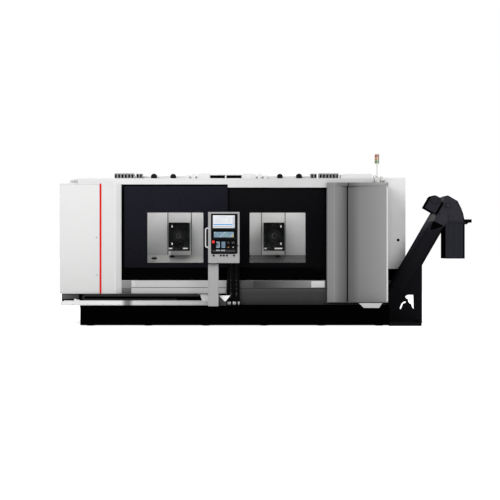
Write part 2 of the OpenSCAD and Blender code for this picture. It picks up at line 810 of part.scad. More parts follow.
// sliding door: pan with window opening, finger channel, bottom fins and hanging runners
module door_leaf(x, y, window_x) {
    skin = 4;
    rim = 46;
    glass_seat = 26;
    grip_w = 54;
    difference() {
        union() {
            span(x, [y, y + door_t], [z_door, z_door_top]);
            for (u = [x[0] + 220, x[1] - 220 - runner_w])
                span([u, u + runner_w], [y + 1, y + door_t - 1], [z_door_top - 1, z_door_top + runner_h]);
            span([x[0] + 60, x[1] - 60], [y + door_t / 2 - 4, y + door_t / 2 + 4], [z_door - 22, z_door + 1]);
        }
        along_y([y - over, y + door_t + over]) translate([window_x, z_window]) round_rect(window_w, window_h, window_r);
        // seat of the glass, from behind
        span([window_x - glass_seat, window_x + window_w + glass_seat], [y + skin, y + door_t + over],
             [z_window - glass_seat, z_window + window_h + glass_seat]);
        // pockets of the folded pan beside, below and above the window
        span([x[0] + grip_w + rim, window_x - rim - glass_seat], [y + skin, y + door_t + over],
             [z_door + rim, z_door_top - rim]);
        span([window_x + window_w + rim + glass_seat, x[1] - rim], [y + skin, y + door_t + over],
             [z_door + rim, z_door_top - rim]);
        span([window_x - glass_seat, window_x + window_w + glass_seat], [y + skin, y + door_t + over],
             [z_door + rim, z_window - rim - glass_seat]);
        span([window_x - glass_seat, window_x + window_w + glass_seat], [y + skin, y + door_t + over],
             [z_window + window_h + rim + glass_seat, z_door_top - rim]);
        // full-height finger channel at the leading edge
        span([x[0] + 14, x[0] + grip_w], [y - over, y + 18], [z_door + 30, z_door_top - 60]);
        // slot of the hanging rail
        along_x(x) translate([y + door_t / 2, 0]) {
            translate([-4 - 1.5, door_rail_z + 9]) square([8 + 3, runner_h + 20]);
            translate([-10 - slide_gap, door_rail_z - seat_gap]) square([20 + 2 * slide_gap, 14 + 2 * seat_gap]);
        }
    }
}

module glass_pane(y, window_x) {
    edge = 25;
    span([window_x - edge, window_x + window_w + edge], [y + 4, y + 16], [z_window - edge, z_window + window_h + edge]);
    // inner clamping frame
    difference() {
        span([window_x - edge, window_x + window_w + edge], [y + 16, y + 22],
             [z_window - edge, z_window + window_h + edge]);
        along_y([y + 15, y + 23]) translate([window_x + 6, z_window + 6]) round_rect(window_w - 12, window_h - 12, window_r);
    }
}

left_window_x = x_line - window_pitch / 2 - window_w / 2;
right_window_x = x_line + window_pitch / 2 - window_w / 2;

module left_door() { color(blue_black) door_leaf([x_cell + 3, x_meet], y_door, left_window_x); }
module left_window() { color("#9fb0b8") glass_pane(y_door, left_window_x); }
module right_door() { color(blue_black) door_leaf([right_door_x, x_cab - 3], y_inner, right_window_x); }
module right_window() { color("#9fb0b8") glass_pane(y_inner, right_window_x); }

// ---------- work cells ----------

function cell_x(s) = x_line + s * spindle_pitch / 2;

drop_w = 900;
drop_d = 220;
y_drop = y_door + 520;
floor_front = z_sill + 30;
floor_back = z_sill + 472;
slot_z = [floor_back, spindle_z + ram_side / 2 + head_up + 16];
web_t = 80;
guide_t = 25;
guide_y = [y_slide + 90, y_slide + 430];
slide_w = slot_w - 2 * 6;
table_rail_y = [y_frame + 60, y_frame + 290];
table_rail_z = table_z - 96;

// welded frame of both cells: sill, side walls, back wall and the columns behind it
module cell_frame() {
    color("#c4c5c6") {
        difference() {
            union() {
                span([x_cell + 8, x_cab - 8], [y_frame, y_wall + wall_t], [bed_top, z_sheet]);
                // door sill in front of the frame
                span([x_cell + 8, x_cab - 8], [y_door + 28, y_frame + 1], [z_sill - 60, z_sill - 13]);
                span([x_cell + 8, x_cab - 8], [y_sill, y_frame + 1], [z_sill - 14, z_sill]);
            }
            for (y = [y_door, y_inner])
                span([x_cell, x_cab], [y + door_t / 2 - 5, y + door_t / 2 + 5], [z_sill - 13, z_sill + over]);
            for (s = [-1, 1]) cell_cut(s);
        }
        // upstand that carries the header
        span([x_cell + 8, x_cab - 8], [y_frame, y_frame + 60], [z_sheet - 1, z_roof_plate]);
        for (s = [-1, 1]) column(s);
        for (s = [-1, 1]) table_ways(s);
    }
}

module cell_cut(s) {
    xc = cell_x(s);
    along_x([xc - cell_w / 2, xc + cell_w / 2]) polygon([
        [y_frame - over, floor_front], [y_door + 460, floor_front], [y_wall, floor_back],
        [y_wall, cell_top], [y_frame - over, cell_top],
    ]);
    span([xc - drop_w / 2, xc + drop_w / 2], [y_drop, y_drop + drop_d], [bed_top - over, floor_back + 60]);
    span([xc - slot_w / 2, xc + slot_w / 2], [y_wall - over, y_wall + wall_t + over], slot_z);
}

// column behind the back wall, with four guide ribs for the head slide
module column(s) {
    xc = cell_x(s);
    inner = slide_w / 2 + 8;
    z = [bed_top, z_sheet];
    for (m = [-1, 1]) {
        lo = xc + (m > 0 ? inner : -inner - web_t);
        span([lo, lo + web_t], [y_wall + wall_t - 1, y_column], z);
        rib = xc + (m > 0 ? inner - guide_t : -inner - 1);
        for (y = guide_y) span([rib, rib + guide_t + 1], [y, y + 34], [z[0] + 200, z[1] - 20]);
    }
    span([xc - inner - web_t, xc + inner + web_t], [y_column - 1, y_column + 29], z);
}

// two ways across the front of the cell for the table
module table_ways(s) {
    xc = cell_x(s);
    reach = table_w / 2 + table_travel + 30;
    for (y = table_rail_y) {
        span([xc - reach, xc + reach], [y, y + 40], [floor_front - 1, table_rail_z - 20]);
        span([xc - reach, xc + reach], [y + 8, y + 32], [table_rail_z - 21, table_rail_z]);
    }
}

// table with clamping slots and runners on the two ways
module work_table(s) {
    xc = cell_x(s);
    y = [table_rail_y[0] - 15, table_rail_y[0] - 15 + table_d];
    slot_n = 4;
    pitch = table_d / slot_n;
    color("#8d9094") difference() {
        union() {
            span([xc - table_w / 2, xc + table_w / 2], y, [table_rail_z + 26, table_z]);
            for (r = table_rail_y, m = [-1, 1])
                span([xc + m * (table_w / 2 - 70) - 60, xc + m * (table_w / 2 - 70) + 60], [r - 4, r + 44],
                     [table_rail_z - 18, table_rail_z + 27]);
        }
        for (r = table_rail_y)
            span([xc - table_w, xc + table_w], [r + 8 - slide_gap, r + 32 + slide_gap],
                 [table_rail_z - 30, table_rail_z + seat_gap]);
        for (i = [0:slot_n - 1]) along_x([xc - table_w, xc + table_w]) translate([y[0] + (i + 0.5) * pitch, table_z]) {
            translate([-7, -20]) square([14, 21]);
            translate([-12, -28]) square([24, 10]);
        }
    }
}

module left_table() { work_table(-1); }
module right_table() { work_table(1); }

// vertical slide: cover plate in the back-wall slot and the guide block behind it
module head_slide(s) {
    xc = cell_x(s);
    cover_t = 14;
    cover_z = [slot_z[0] - head_up - 20, slot_z[1] + head_down + 20];
    block_z = [spindle_z - 330, spindle_z + 330];
    color("#b9babb") difference() {
        union() {
            span([xc - slide_w / 2, xc + slide_w / 2], [y_slide, y_slide + cover_t], cover_z);
            // folds of the way cover, across the slide
            for (z = [cover_z[0] + 90:120:cover_z[1] - 60])
                span([xc - slide_w / 2 + 20, xc + slide_w / 2 - 20], [y_slide - 4, y_slide + 1], [z, z + 8]);
            span([xc - slide_w / 2, xc + slide_w / 2], [y_slide + cover_t - 1, y_slide + 520], block_z);
        }
        for (m = [-1, 1], y = guide_y) {
            lo = xc + (m > 0 ? slide_w / 2 - guide_t + 8 - slide_gap : -slide_w / 2 - over);
            span([lo, lo + guide_t - 8 + slide_gap + over], [y - slide_gap, y + 34 + slide_gap],
                 [cover_z[0] - over, cover_z[1] + over]);
        }
        span([xc - ram_side / 2 - slide_gap, xc + ram_side / 2 + slide_gap], [y_slide - 6, y_slide + 521],
             [spindle_z - ram_side / 2 - slide_gap, spindle_z + ram_side / 2 + slide_gap]);
    }
}

module left_head_slide() { head_slide(-1); }
module right_head_slide() { head_slide(1); }

nose_y = y_wall - 20 - ram_box_d;

// spindle box with two work lamps on its outer side, carried by a square ram
module ram(s) {
    xc = cell_x(s);
    box_x = [xc - ram_box_w / 2, xc + ram_box_w / 2];
    box_z = [spindle_z - 295, spindle_z - 295 + ram_box_h];
    lamp_x = xc + s * 155;
    color(black_paint) difference() {
        union() {
            along_x(box_x) polygon([
                [nose_y, box_z[0] + 30], [nose_y, box_z[1] - 60], [nose_y + 50, box_z[1]],
                [y_wall - 20, box_z[1]], [y_wall - 20, box_z[0]], [nose_y + 30, box_z[0]],
            ]);
            span([xc - ram_side / 2, xc + ram_side / 2], [y_wall - 21, y_wall + 300 + ram_travel],
                 [spindle_z - ram_side / 2, spindle_z + ram_side / 2]);
            bar_y(xc, spindle_z, [nose_y - 22, nose_y + 1], spindle_r + 38);
            for (z = [spindle_z + 185, spindle_z - 156]) bar_y(lamp_x, z, [nose_y - 14, nose_y + 1], 26);
        }
        bar_y(xc, spindle_z, [nose_y - 23, nose_y + 330], spindle_r + run_gap);
        for (z = [spindle_z + 185, spindle_z - 156]) bar_y(lamp_x, z, [nose_y - 15, nose_y - 8], 21);
    }
}

module left_ram() { ram(-1); }
module right_ram() { ram(1); }

// spindle: nose flange with drive keys, tool taper and the shaft
module spindle(s) {
    xc = cell_x(s);
    nose = 26;
    color(steel) difference() {
        union() {
            bar_y(xc, spindle_z, [nose_y - 22 - seat_gap - nose, nose_y + 320], spindle_r);
            bar_y(xc, spindle_z, [nose_y - 22 - seat_gap - nose, nose_y - 22 - seat_gap], spindle_r + 14);
            for (m = [-1, 1])
                span([xc + m * (spindle_r + 1) - 8, xc + m * (spindle_r + 1) + 8],
                     [nose_y - 22 - seat_gap - nose - 8, nose_y - 22 - seat_gap - nose + 1],
                     [spindle_z - 8, spindle_z + 8]);
        }
        translate([xc, nose_y - 22 - seat_gap - nose - over, spindle_z]) rotate([-90, 0, 0])
            cylinder(r1 = 32, r2 = 20, h = 90);
    }
}

module left_spindle() { spindle(-1); }
module right_spindle() { spindle(1); }

// ---------- control panel ----------

pillar_x = [carriage_x - pillar_w / 2, carriage_x + pillar_w / 2];
pillar_y = [y_door - 420, y_door - 312];
neck_r = 62;
pivot_r = 30;
panel_x = [pillar_x[0], pillar_x[0] + panel_w];
rack_x = panel_x[0] + (panel_w - rack_w) / 2;
rack_z = panel_z + panel_h - 32;
pivot_y = y_panel + 82;

// trolley on the front rail: sloped sides, four guide pads round the rib
module panel_carriage() {
    mid = (y_rail[0] + y_rail[1]) / 2;
    shift = 38;
    foot_shift = 11;
    color(white_paint) difference() {
        along_y([pillar_y[1], y_rail[1] + 16]) polygon([
            [carriage_x - carriage_foot / 2 + foot_shift, z_rail + seat_gap],
            [carriage_x + carriage_foot / 2 + foot_shift, z_rail + seat_gap],
            [carriage_x + carriage_top / 2 + shift, z_rail + 108],
            [carriage_x - carriage_top / 2 + shift, z_rail + 108],
        ]);
        span([carriage_x - carriage_top, carriage_x + carriage_top],
             [mid - 17 - slide_gap, mid + 17 + slide_gap], [z_rail - over, z_rail + 14 + seat_gap]);
        // pocket for the cable clamp, open at the rear
        span([carriage_x - 120, carriage_x + 120], [y_rail[1] - 10, y_rail[1] + 17], [z_rail + 40, z_rail + 90]);
    }
    // arm that holds the moving end of the energy chain
    arm_x = [chain_turn_x + chain_high_n * chain_link + seat_gap, carriage_x + 40];
    color(white_paint) {
        span(arm_x, [chain_y[0] + 4, chain_y[1] - 4], [chain_high + 4, chain_high + chain_h - 4]);
        span([carriage_x - 60, carriage_x + 40], [y_rail[1] + 15, chain_y[0] + 5],
             [chain_high + 4, chain_high + chain_h - 4]);
    }
}

module panel_pillar() {
    color(grey_paint) {
        difference() {
            span(pillar_x, pillar_y, [bed_top - 6, panel_z - 14]);
            span([pillar_x[0] + 12, pillar_x[1] - 12], [pillar_y[0] + 12, pillar_y[1] - 12],
                 [bed_top + 6, panel_z - 26]);
            span([pillar_x[0] + 50, pillar_x[1] - 50], [pillar_y[1] - 13, pillar_y[1] + over],
                 [z_rail + 130, z_rail + 300]);
        }
        translate([carriage_x, pivot_y, panel_z - 15]) cylinder(r = neck_r, h = 15 - seat_gap);
        translate([carriage_x, pivot_y, panel_z - 1]) cylinder(r = pivot_r, h = 60);
        // gusset under the neck
        translate([carriage_x - 6, 0, 0]) along_x([0, 12])
            polygon([[pillar_y[0] + 1, panel_z - 14], [pivot_y - 50, panel_z - 14], [pillar_y[0] + 1, panel_z - 110]]);
    }
}

button_u = [106, 237.5, 296, 356, 487];
button_z = panel_z + 139;
button_r = 14;
stop_pos = [rack_x + 45, rack_z - 530];
knob_pos = [[rack_x + 328, rack_z - 547], [rack_x + 418, rack_z - 547]];
knob_r = 17;

// folded housing with rounded vertical edges
module panel_housing() {
    edge_r = 12;
    wall = 4;
    color("#b5b5b5") difference() {
        union() {
            translate([panel_x[0], y_panel, panel_z]) linear_extrude(panel_h) round_rect(panel_w, panel_d, edge_r);
            for (u = button_u) bar_y(panel_x[0] + u, button_z, [y_panel - 5, y_panel + 1], button_r + 6);
            // shroud round the lock at the right edge
            bar_y(panel_x[1] - 30, panel_z + 327, [y_panel - 16, y_panel + 1], 13);
        }
        // hollow for the rack units, closed by their plates
        span([rack_x + 12, rack_x + rack_w - 12], [y_panel - over, y_panel + panel_d - wall],
             [rack_z - 760, rack_z - 12]);
        span([panel_x[0] + 14, panel_x[1] - 14], [y_panel + 40, y_panel + panel_d - wall],
             [panel_z + 66, panel_z + panel_h - 20]);
        translate([carriage_x, pivot_y, panel_z - over]) cylinder(r = pivot_r + run_gap, h = 63);
        for (u = button_u)
            bar_y(panel_x[0] + u, button_z, [y_panel - 6, y_panel + 40 + over], button_r + run_gap);
    }
}

// screen unit: bezel, recessed screen and a row of soft keys under it
module display_unit() {
    h = 291;
    color("#1a1b1d") difference() {
        union() {
            span([rack_x, rack_x + rack_w], [y_panel - plate_t, y_panel], [rack_z - h, rack_z]);
            span([rack_x + 14, rack_x + rack_w - 14], [y_panel - 1, y_panel + 34], [rack_z - h + 14, rack_z - 14]);
        }
        span([rack_x + 35, rack_x + rack_w - 35], [y_panel - plate_t - over, y_panel - 1],
             [rack_z - h + 20, rack_z - 30]);
    }
}

// alphanumeric foil keyboard
module keyboard_unit() {
    top = rack_z - 293;
    h = 178;
    key = 20;
    pitch = 26.4;
    color("#26272a") {
        span([rack_x, rack_x + rack_w], [y_panel - plate_t, y_panel], [top - h, top]);
        for (r = [0:3], c = [0:13])
            span([rack_x + 60 + c * pitch, rack_x + 60 + c * pitch + key],
                 [y_panel - plate_t - 1.5, y_panel - plate_t + 0.5],
                 [top - 71 - r * pitch, top - 71 - r * pitch + key]);
    }
}

// machine control plate with foil key blocks, bores for the stop button and two selectors
module machine_panel() {
    top = rack_z - 473;
    h = 276;
    key = 19;
    pitch = 24;
    color("#202124") difference() {
        union() {
            span([rack_x, rack_x + rack_w], [y_panel - plate_t, y_panel], [top - h, top]);
            for (b = [[99, 3, 5], [200, 3, 5], [318, 1, 1], [408, 1, 1]], c = [0:b[1] - 1], r = [5 - b[2]:4])
                span([rack_x + b[0] + c * pitch, rack_x + b[0] + c * pitch + key],
                     [y_panel - plate_t - 1.5, y_panel - plate_t + 0.5],
                     [top - 72 - r * pitch, top - 72 - r * pitch + key]);
            for (c = [0:17], r = [0:1])
                span([rack_x + 26 + c * pitch, rack_x + 26 + c * pitch + key],
                     [y_panel - plate_t - 1.5, y_panel - plate_t + 0.5],
                     [top - 225 - r * pitch, top - 225 - r * pitch + key]);
            for (p = concat([stop_pos], knob_pos)) bar_y(p[0], p[1], [y_panel - 1, y_panel + 26], 20);
        }
        for (p = concat([stop_pos], knob_pos))
            bar_y(p[0], p[1], [y_panel - plate_t - over, y_panel + 27], 8 + run_gap);
    }
}

module panel_handle() {
    r = 11.5;
    z = [panel_z + 305, panel_z + 645];
    out = 47;
    y = y_panel + 50;
    color("#e9e9e9") {
        for (k = z) bar_x(y, k, [panel_x[0] - out, panel_x[0]], r);
        translate([panel_x[0] - out, y, z[0]]) cylinder(r = r, h = z[1] - z[0]);
        for (k = z) translate([panel_x[0] - out, y, k]) sphere(r = r);
        for (k = z) bar_x(y, k, [panel_x[0] - 5, panel_x[0]], r + 9);
    }
}

// latching mushroom head
module emergency_stop() {
    color("#d02a20") translate([stop_pos[0], y_panel - plate_t, stop_pos[1]]) rotate([90, 0, 0]) rotate_extrude()
        polygon([[0, -28], [8, -28], [8, 8], [14, 10], [14, 20], [25, 24], [28, 31], [25, 37], [16, 41], [0, stop_h]]);
}

module selector_knob(p) {
    color("#3a3b3e") translate([p[0], y_panel - plate_t, p[1]]) rotate([90, 0, 0]) {
        translate([0, 0, -28]) cylinder(r = 8, h = 30);
        translate([0, 0, seat_gap]) cylinder(r = knob_r, h = 12);
        translate([-4, -knob_r, 11]) cube([8, 2 * knob_r, 12]);
    }
}

module feed_knob() { selector_knob(knob_pos[0]); }
module spindle_knob() { selector_knob(knob_pos[1]); }

module push_button(i) {
    color("#1c1c1e") bar_y(panel_x[0] + button_u[i], button_z, [y_panel - 12, y_panel + 20], button_r);
}

module push_button_1() { push_button(0); }
module push_button_2() { push_button(1); }
module push_button_3() { push_button(2); }
module push_button_4() { push_button(3); }
module push_button_5() { push_button(4); }

// ---------- chip conveyor ----------

half_h = casing_h / 2;
bend_len = bend_r * tan(incline / 2);
bend_start = x_knee - bend_len;
tail_x = x_line - spindle_pitch / 2 - drop_w / 2 - 160;
casing_wall = 5;
drum_r = 96;
belt_t = 10;

// one side of the conveyor path from x = start on, offset upwards by d from its middle line
function path_side(d, start = tail_x) = concat(
    [[start, run_z + d]],
    [for (a = [0:6:incline]) [bend_start + (bend_r - d) * sin(a), run_z + bend_r - (bend_r - d) * cos(a)]],
    [[x_head - d * sin(incline), head_z + d * cos(incline)]]);

function reversed(p) = [for (i = [len(p) - 1:-1:0]) p[i]];

// strip between two offsets, closed by round ends
module path_strip(d) {
    polygon(concat(path_side(d), reversed(path_side(-d))));
    translate([x_head, head_z]) circle(r = d);
}

module conveyor_casing() {
    mouth_x = [x_head + 20, x_head + chute_offset + chute_w / 2 - 12];
    color(anthracite) difference() {
        union() {
            along_y([y_conv, y_conv_end]) path_strip(half_h);
            along_y([y_conv, y_conv_end]) hood_outline(0);
            // side flanges along the rising run
            for (y = [y_conv - 8, y_conv_end])
                along_y([y, y + 8]) difference() {
                    rise_strip(half_h, half_h - 26);
                    translate([x_head, head_z]) circle(r = half_h + 40);
                }
        }
        along_y([y_conv + casing_wall, y_conv_end - casing_wall]) path_strip(half_h - casing_wall);
        along_y([y_conv + casing_wall, y_conv_end - casing_wall]) hood_outline(casing_wall);
        // inlet under the cells and the mouth into the chute
        span([tail_x + 40, bend_start - 40], [y_conv + 40, y_conv_end - 40],
             [run_z + half_h - 20, run_z + half_h + 20]);
        span(mouth_x, [y_conv + casing_wall, y_conv_end - casing_wall], [head_z - 420, hood_low + casing_wall + over]);
        bar_y(x_head, head_z, [y_conv - 10, y_conv_end + 10], shaft_r + run_gap);
    }
    color(anthracite) {
        // tail wall and the skids under the level run
        span([tail_x, tail_x + casing_wall], [y_conv, y_conv_end], [run_z - half_h, run_z + half_h]);
        for (y = [y_conv + 40, y_conv_end - 80])
            span([tail_x + 200, bend_start - 200], [y, y + 40], [0, run_z - half_h + 1]);
        // rails under the edges of the upper strand and over those of the lower one
        for (y = [y_conv + casing_wall - 1, y_conv_end - casing_wall - 27], m = [-1, 1])
            span([tail_x + 200, bend_start - 60], [y, y + 28],
                 [run_z + m * (drum_r + seat_gap - 6) - 6, run_z + m * (drum_r + seat_gap - 6) + 6]);
    }
}

shaft_r = 25;
hood_low = head_z - 318;
hood_right = x_head + chute_offset + chute_w / 2;

// each corner of a convex outline moved inwards by m
function shrunk(p, m) = [for (i = [0:len(p) - 1])
    let (n1 = side_normal(p, i - 1), n2 = side_normal(p, i)) p[i] + m * (n1 + n2) / (1 + n1 * n2)];

// inward direction of the side that starts at corner i
function side_normal(p, i) =
    let (k = len(p), d = p[(i + 1) % k] - p[(i + k) % k]) [-d[1], d[0]] / norm(d);

// faceted hood over the head, drawn smaller by m
module hood_outline(m) {
    r = hood_right - x_head;
    low = hood_low - head_z;
    translate([x_head, head_z])
        polygon(shrunk([[-60, low], [r, low], [r - 8, low + 61], [r - 31, low + 168], [r - 69, -44],
                        [r - 139, 94], [8, 205], [-124, 152]], m));
}

// band along the rising run only, between two offsets on both sides
module rise_strip(outer, inner) {
    for (m = [-1, 1])
        polygon([
            [bend_start + (bend_r - m * outer) * sin(incline), run_z + bend_r - (bend_r - m * outer) * cos(incline)],
            [x_head - m * outer * sin(incline), head_z + m * outer * cos(incline)],
            [x_head - m * inner * sin(incline), head_z + m * inner * cos(incline)],
            [bend_start + (bend_r - m * inner) * sin(incline), run_z + bend_r - (bend_r - m * inner) * cos(incline)],
        ]);
}

function arc_points(x, z, r, from, to, step = 15) =
    [for (a = [from:step:to]) [x + r * cos(a), z + r * sin(a)]];

// outline of the belt loop at distance d from the middle line, turned round the two ends in flats,
// one for each hinged plate
module belt_outline(d) {
    tail_mid = tail_x + drum_r + belt_t + 20;
    polygon(concat(path_side(-d, tail_mid), arc_points(x_head, head_z, d, incline - 75, incline + 75),
                   reversed(path_side(d, tail_mid)), arc_points(tail_mid, run_z, d, 105, 255)));
}

// endless hinged belt with carrier flights
module conveyor_belt() {
    d = drum_r + belt_t;
    y = [y_conv + casing_wall + 12, y_conv_end - casing_wall - 12];
    flight = 26;
    flight_t = 6;
    pitch = 320;
    run_n = floor((bend_start - tail_x - 160) / pitch);
    rise_n = 5;
    rise_foot = [bend_start + bend_r * sin(incline), run_z + bend_r - bend_r * cos(incline)];
    color("#6f7276") {
        along_y(y) difference() {
            belt_outline(d);
            belt_outline(drum_r + seat_gap);
        }
        for (i = [1:run_n])
            translate([tail_x + 120 + i * pitch, 0, run_z]) span([0, flight_t], y, [d - 1, d + flight]);
        for (i = [1:rise_n])
            translate([rise_foot[0] + i * pitch * cos(incline), 0, rise_foot[1] + i * pitch * sin(incline)])
                rotate([0, -incline, 0]) span([0, flight_t], y, [d - 1, d + flight]);
    }
}

// shaft with two toothed wheels that drive the belt
module conveyor_shaft() {
    wheel_w = 30;
    color(steel) {
        bar_y(x_head, head_z, [y_conv - 60, y_conv_end + 6], shaft_r);
        for (y = [y_conv + 70, y_conv_end - 70 - wheel_w]) {
            bar_y(x_head, head_z, [y, y + wheel_w], drum_r - 8);
            for (a = [0:45:315]) translate([x_head, y, head_z]) rotate([0, a, 0])
                translate([drum_r - 14, 4, -9]) cube([12, wheel_w - 8, 18]);
        }
    }
}

stand_x = x_cab_end + 743;
stand_t = 60;

// plate frame that carries the rising run: leg, floor bar and two braces
module conveyor_stand() {
    low = half_h + seat_gap;
    edge_z = run_z + (stand_x - low / sin(incline) - x_knee) * tan(incline);
    foot_x = x_cab_end + 40;
    color("#1f1f23") for (y = [y_conv + 8, y_conv_end - 8 - stand_t]) {
        along_y([y, y + stand_t]) difference() {
            polygon([[foot_x, 0], [stand_x, 0], [stand_x, edge_z], [foot_x, edge_z]]);
            // the casing passes through with a narrow gap
            polygon(concat(path_side(half_h + 900), reversed(path_side(-low))));
            // openings beside the brace, wider in the rear frame
            if (y < y_conv + 9) stand_openings();
            else translate([84, -25]) stand_openings(true);
        }
    }
    color("#1f1f23") drip_tray();
    color("#1f1f23") for (z = [40, 900])
        span([stand_x - 60, stand_x - 20], [y_conv + 8 + stand_t - 1, y_conv_end - 8 - stand_t + 1], [z, z + 60]);
}

// drip tray on the floor under the frame, its front in line with the bed
module drip_tray() {
    x = [x_cab_end + 3, stand_x - 132];
    y = [y_rail[0] + 40, y_conv_end - 8];
    rim = 4;
    difference() {
        span(x, y, [0, 70]);
        span([x[0] + rim, x[1] - rim], [y[0] + rim, y[1] - rim], [rim, 70 + over]);
    }
}

// two openings of the frame, notched in the front one and plain in the rear one
module stand_openings(plain = false) {
    near = [[-343, 539], [-343, 516], if (!plain) [-277, 469], [-265, 396], if (!plain) [-218, 384], [-181, 279],
            [-157, 261], [-165, 563], [-294, 563]];
    far = [[-457, 302], [-449, 271], [-408, 279], if (!plain) [-367, 384], [-314, 402], [-314, 431], [-367, 431],
           [-418, 396]];
    translate([stand_x, 0]) for (p = [near, far]) polygon(p);
}

// gear motor on the upper face of the head
module conveyor_drive() {
    foot = half_h + 0.5;
    color("#25252b") translate([x_head, 0, head_z]) rotate([0, -incline, 0]) {
        // gear case, its upper corner round the motor, with a plate that laps over the casing
        along_y([y_conv - 44, y_conv + 330]) {
            polygon([[-257, foot], [16, foot], [59, 192], [59, 282], [-31, 282], [-31, 371], [-257, 371]]);
            translate([-31, 281]) circle(r = 90);
        }
        span([-257, -20], [y_conv - 44, y_conv - 9], [115, foot + 1]);
        bar_y(-31, 281, [y_conv - 74, y_conv - 43], 70);
        bar_y(-31, 281, [y_conv + 329, y_conv + 400], 84);
    }
}

// open-bottomed chute with its side flap and sensor bracket
module discharge_chute() {
    x = [hood_right - chute_w, hood_right];
    wall = 6;
    color(anthracite) {
        difference() {
            union() {
                span(x, [y_conv, y_conv_end], [chute_z, hood_low]);
                span([x[0] - 14, x[1] + 14], [y_conv - 14, y_conv_end + 14], [hood_low - 24, hood_low]);
            }
            span([x[0] + wall, x[1] - wall], [y_conv + wall, y_conv_end - wall], [chute_z - over, hood_low + over]);
            // the rising run passes the upper left corner
            along_y([y_conv - 20, y_conv_end + 20]) path_strip(half_h + seat_gap);
        }
        along_y([y_conv + 60, y_conv + 160]) polygon([
            [x[1] - 1, hood_low - 35], [x[1] + 50, hood_low - 47], [x[1] + 75, hood_low - 11],
            [x[1] + bracket_w, hood_low - 11], [x[1] + bracket_w, hood_low + 49],
            [x[1] + 0.5, hood_low + 49], [x[1] + 0.5, hood_low + 0.5], [x[1] - 1, hood_low - 1],
        ]);
    }
}

// ---------- drawing ----------

machine_bed();
leveling_feet();
front_rail();
energy_chain();
left_apron();
right_apron();
left_end_housing();
red_trim();
roof_fascia();
rear_housing();
right_end_cover();
pump_unit();
cabinet_body();
cabinet_tray();
roof_cable_guides();
roof_drives();
extraction_unit();
fluid_box();
signal_tower();
conveyor_casing();
conveyor_belt();
conveyor_stand();
conveyor_drive();
discharge_chute();
cell_frame();
utility_post();
service_hoses();
conveyor_shaft();
access_door();
upper_lock();
lower_lock();
cabinet_left_leaf();
cabinet_right_leaf();
left_door();
left_window();
right_door();
right_window();
panel_carriage();
panel_pillar();
panel_housing();
display_unit();
keyboard_unit();
machine_panel();
panel_handle();
emergency_stop();
feed_knob();
spindle_knob();
push_button_1();
push_button_2();
push_button_3();
push_button_4();
push_button_5();
left_head_slide();
left_ram();
left_spindle();
left_table();
right_head_slide();
right_ram();
right_spindle();
right_table();
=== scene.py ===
from math import asin, atan2, cos, hypot, pi, radians, sin

import bmesh
import bpy
from mathutils import Matrix, Vector


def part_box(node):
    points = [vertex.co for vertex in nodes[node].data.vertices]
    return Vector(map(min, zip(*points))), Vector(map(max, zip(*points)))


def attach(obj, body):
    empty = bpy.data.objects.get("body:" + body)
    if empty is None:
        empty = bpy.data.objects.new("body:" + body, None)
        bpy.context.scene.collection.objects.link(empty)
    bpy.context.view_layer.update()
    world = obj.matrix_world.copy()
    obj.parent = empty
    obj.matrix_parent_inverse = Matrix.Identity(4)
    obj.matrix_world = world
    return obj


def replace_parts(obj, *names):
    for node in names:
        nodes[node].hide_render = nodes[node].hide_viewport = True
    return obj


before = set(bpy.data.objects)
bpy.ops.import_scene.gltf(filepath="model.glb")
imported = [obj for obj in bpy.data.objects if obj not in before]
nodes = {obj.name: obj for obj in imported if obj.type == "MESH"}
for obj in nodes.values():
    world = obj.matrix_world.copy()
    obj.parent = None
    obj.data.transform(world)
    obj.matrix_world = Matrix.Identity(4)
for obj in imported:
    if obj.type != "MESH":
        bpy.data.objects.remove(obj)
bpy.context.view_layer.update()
scene = bpy.context.scene
finishes = {}
print("frame loaded with", len(nodes), "nodes")


# shader maths as plain expressions on sockets
class Value:
    def __init__(self, tree, socket):
        self.tree = tree
        self.socket = socket

    def calc(self, operation, other, flip=False):
        node = self.tree.nodes.new("ShaderNodeMath")
        node.operation = operation
        for slot, term in zip(node.inputs, (other, self) if flip else (self, other)):
            if isinstance(term, Value):
                self.tree.links.new(term.socket, slot)
            else:
                slot.default_value = term
        return Value(self.tree, node.outputs[0])

    def __add__(self, other): return self.calc("ADD", other)
    def __radd__(self, other): return self.calc("ADD", other)
    def __sub__(self, other): return self.calc("SUBTRACT", other)
    def __rsub__(self, other): return self.calc("SUBTRACT", other, True)
    def __mul__(self, other): return self.calc("MULTIPLY", other)
    def __rmul__(self, other): return self.calc("MULTIPLY", other)
    def __truediv__(self, other): return self.calc("DIVIDE", other)
    def __gt__(self, other): return self.calc("GREATER_THAN", other)
    def most(self, other): return self.calc("MAXIMUM", other)
    def held(self): return self.calc("MAXIMUM", 0.0).calc("MINIMUM", 1.0)


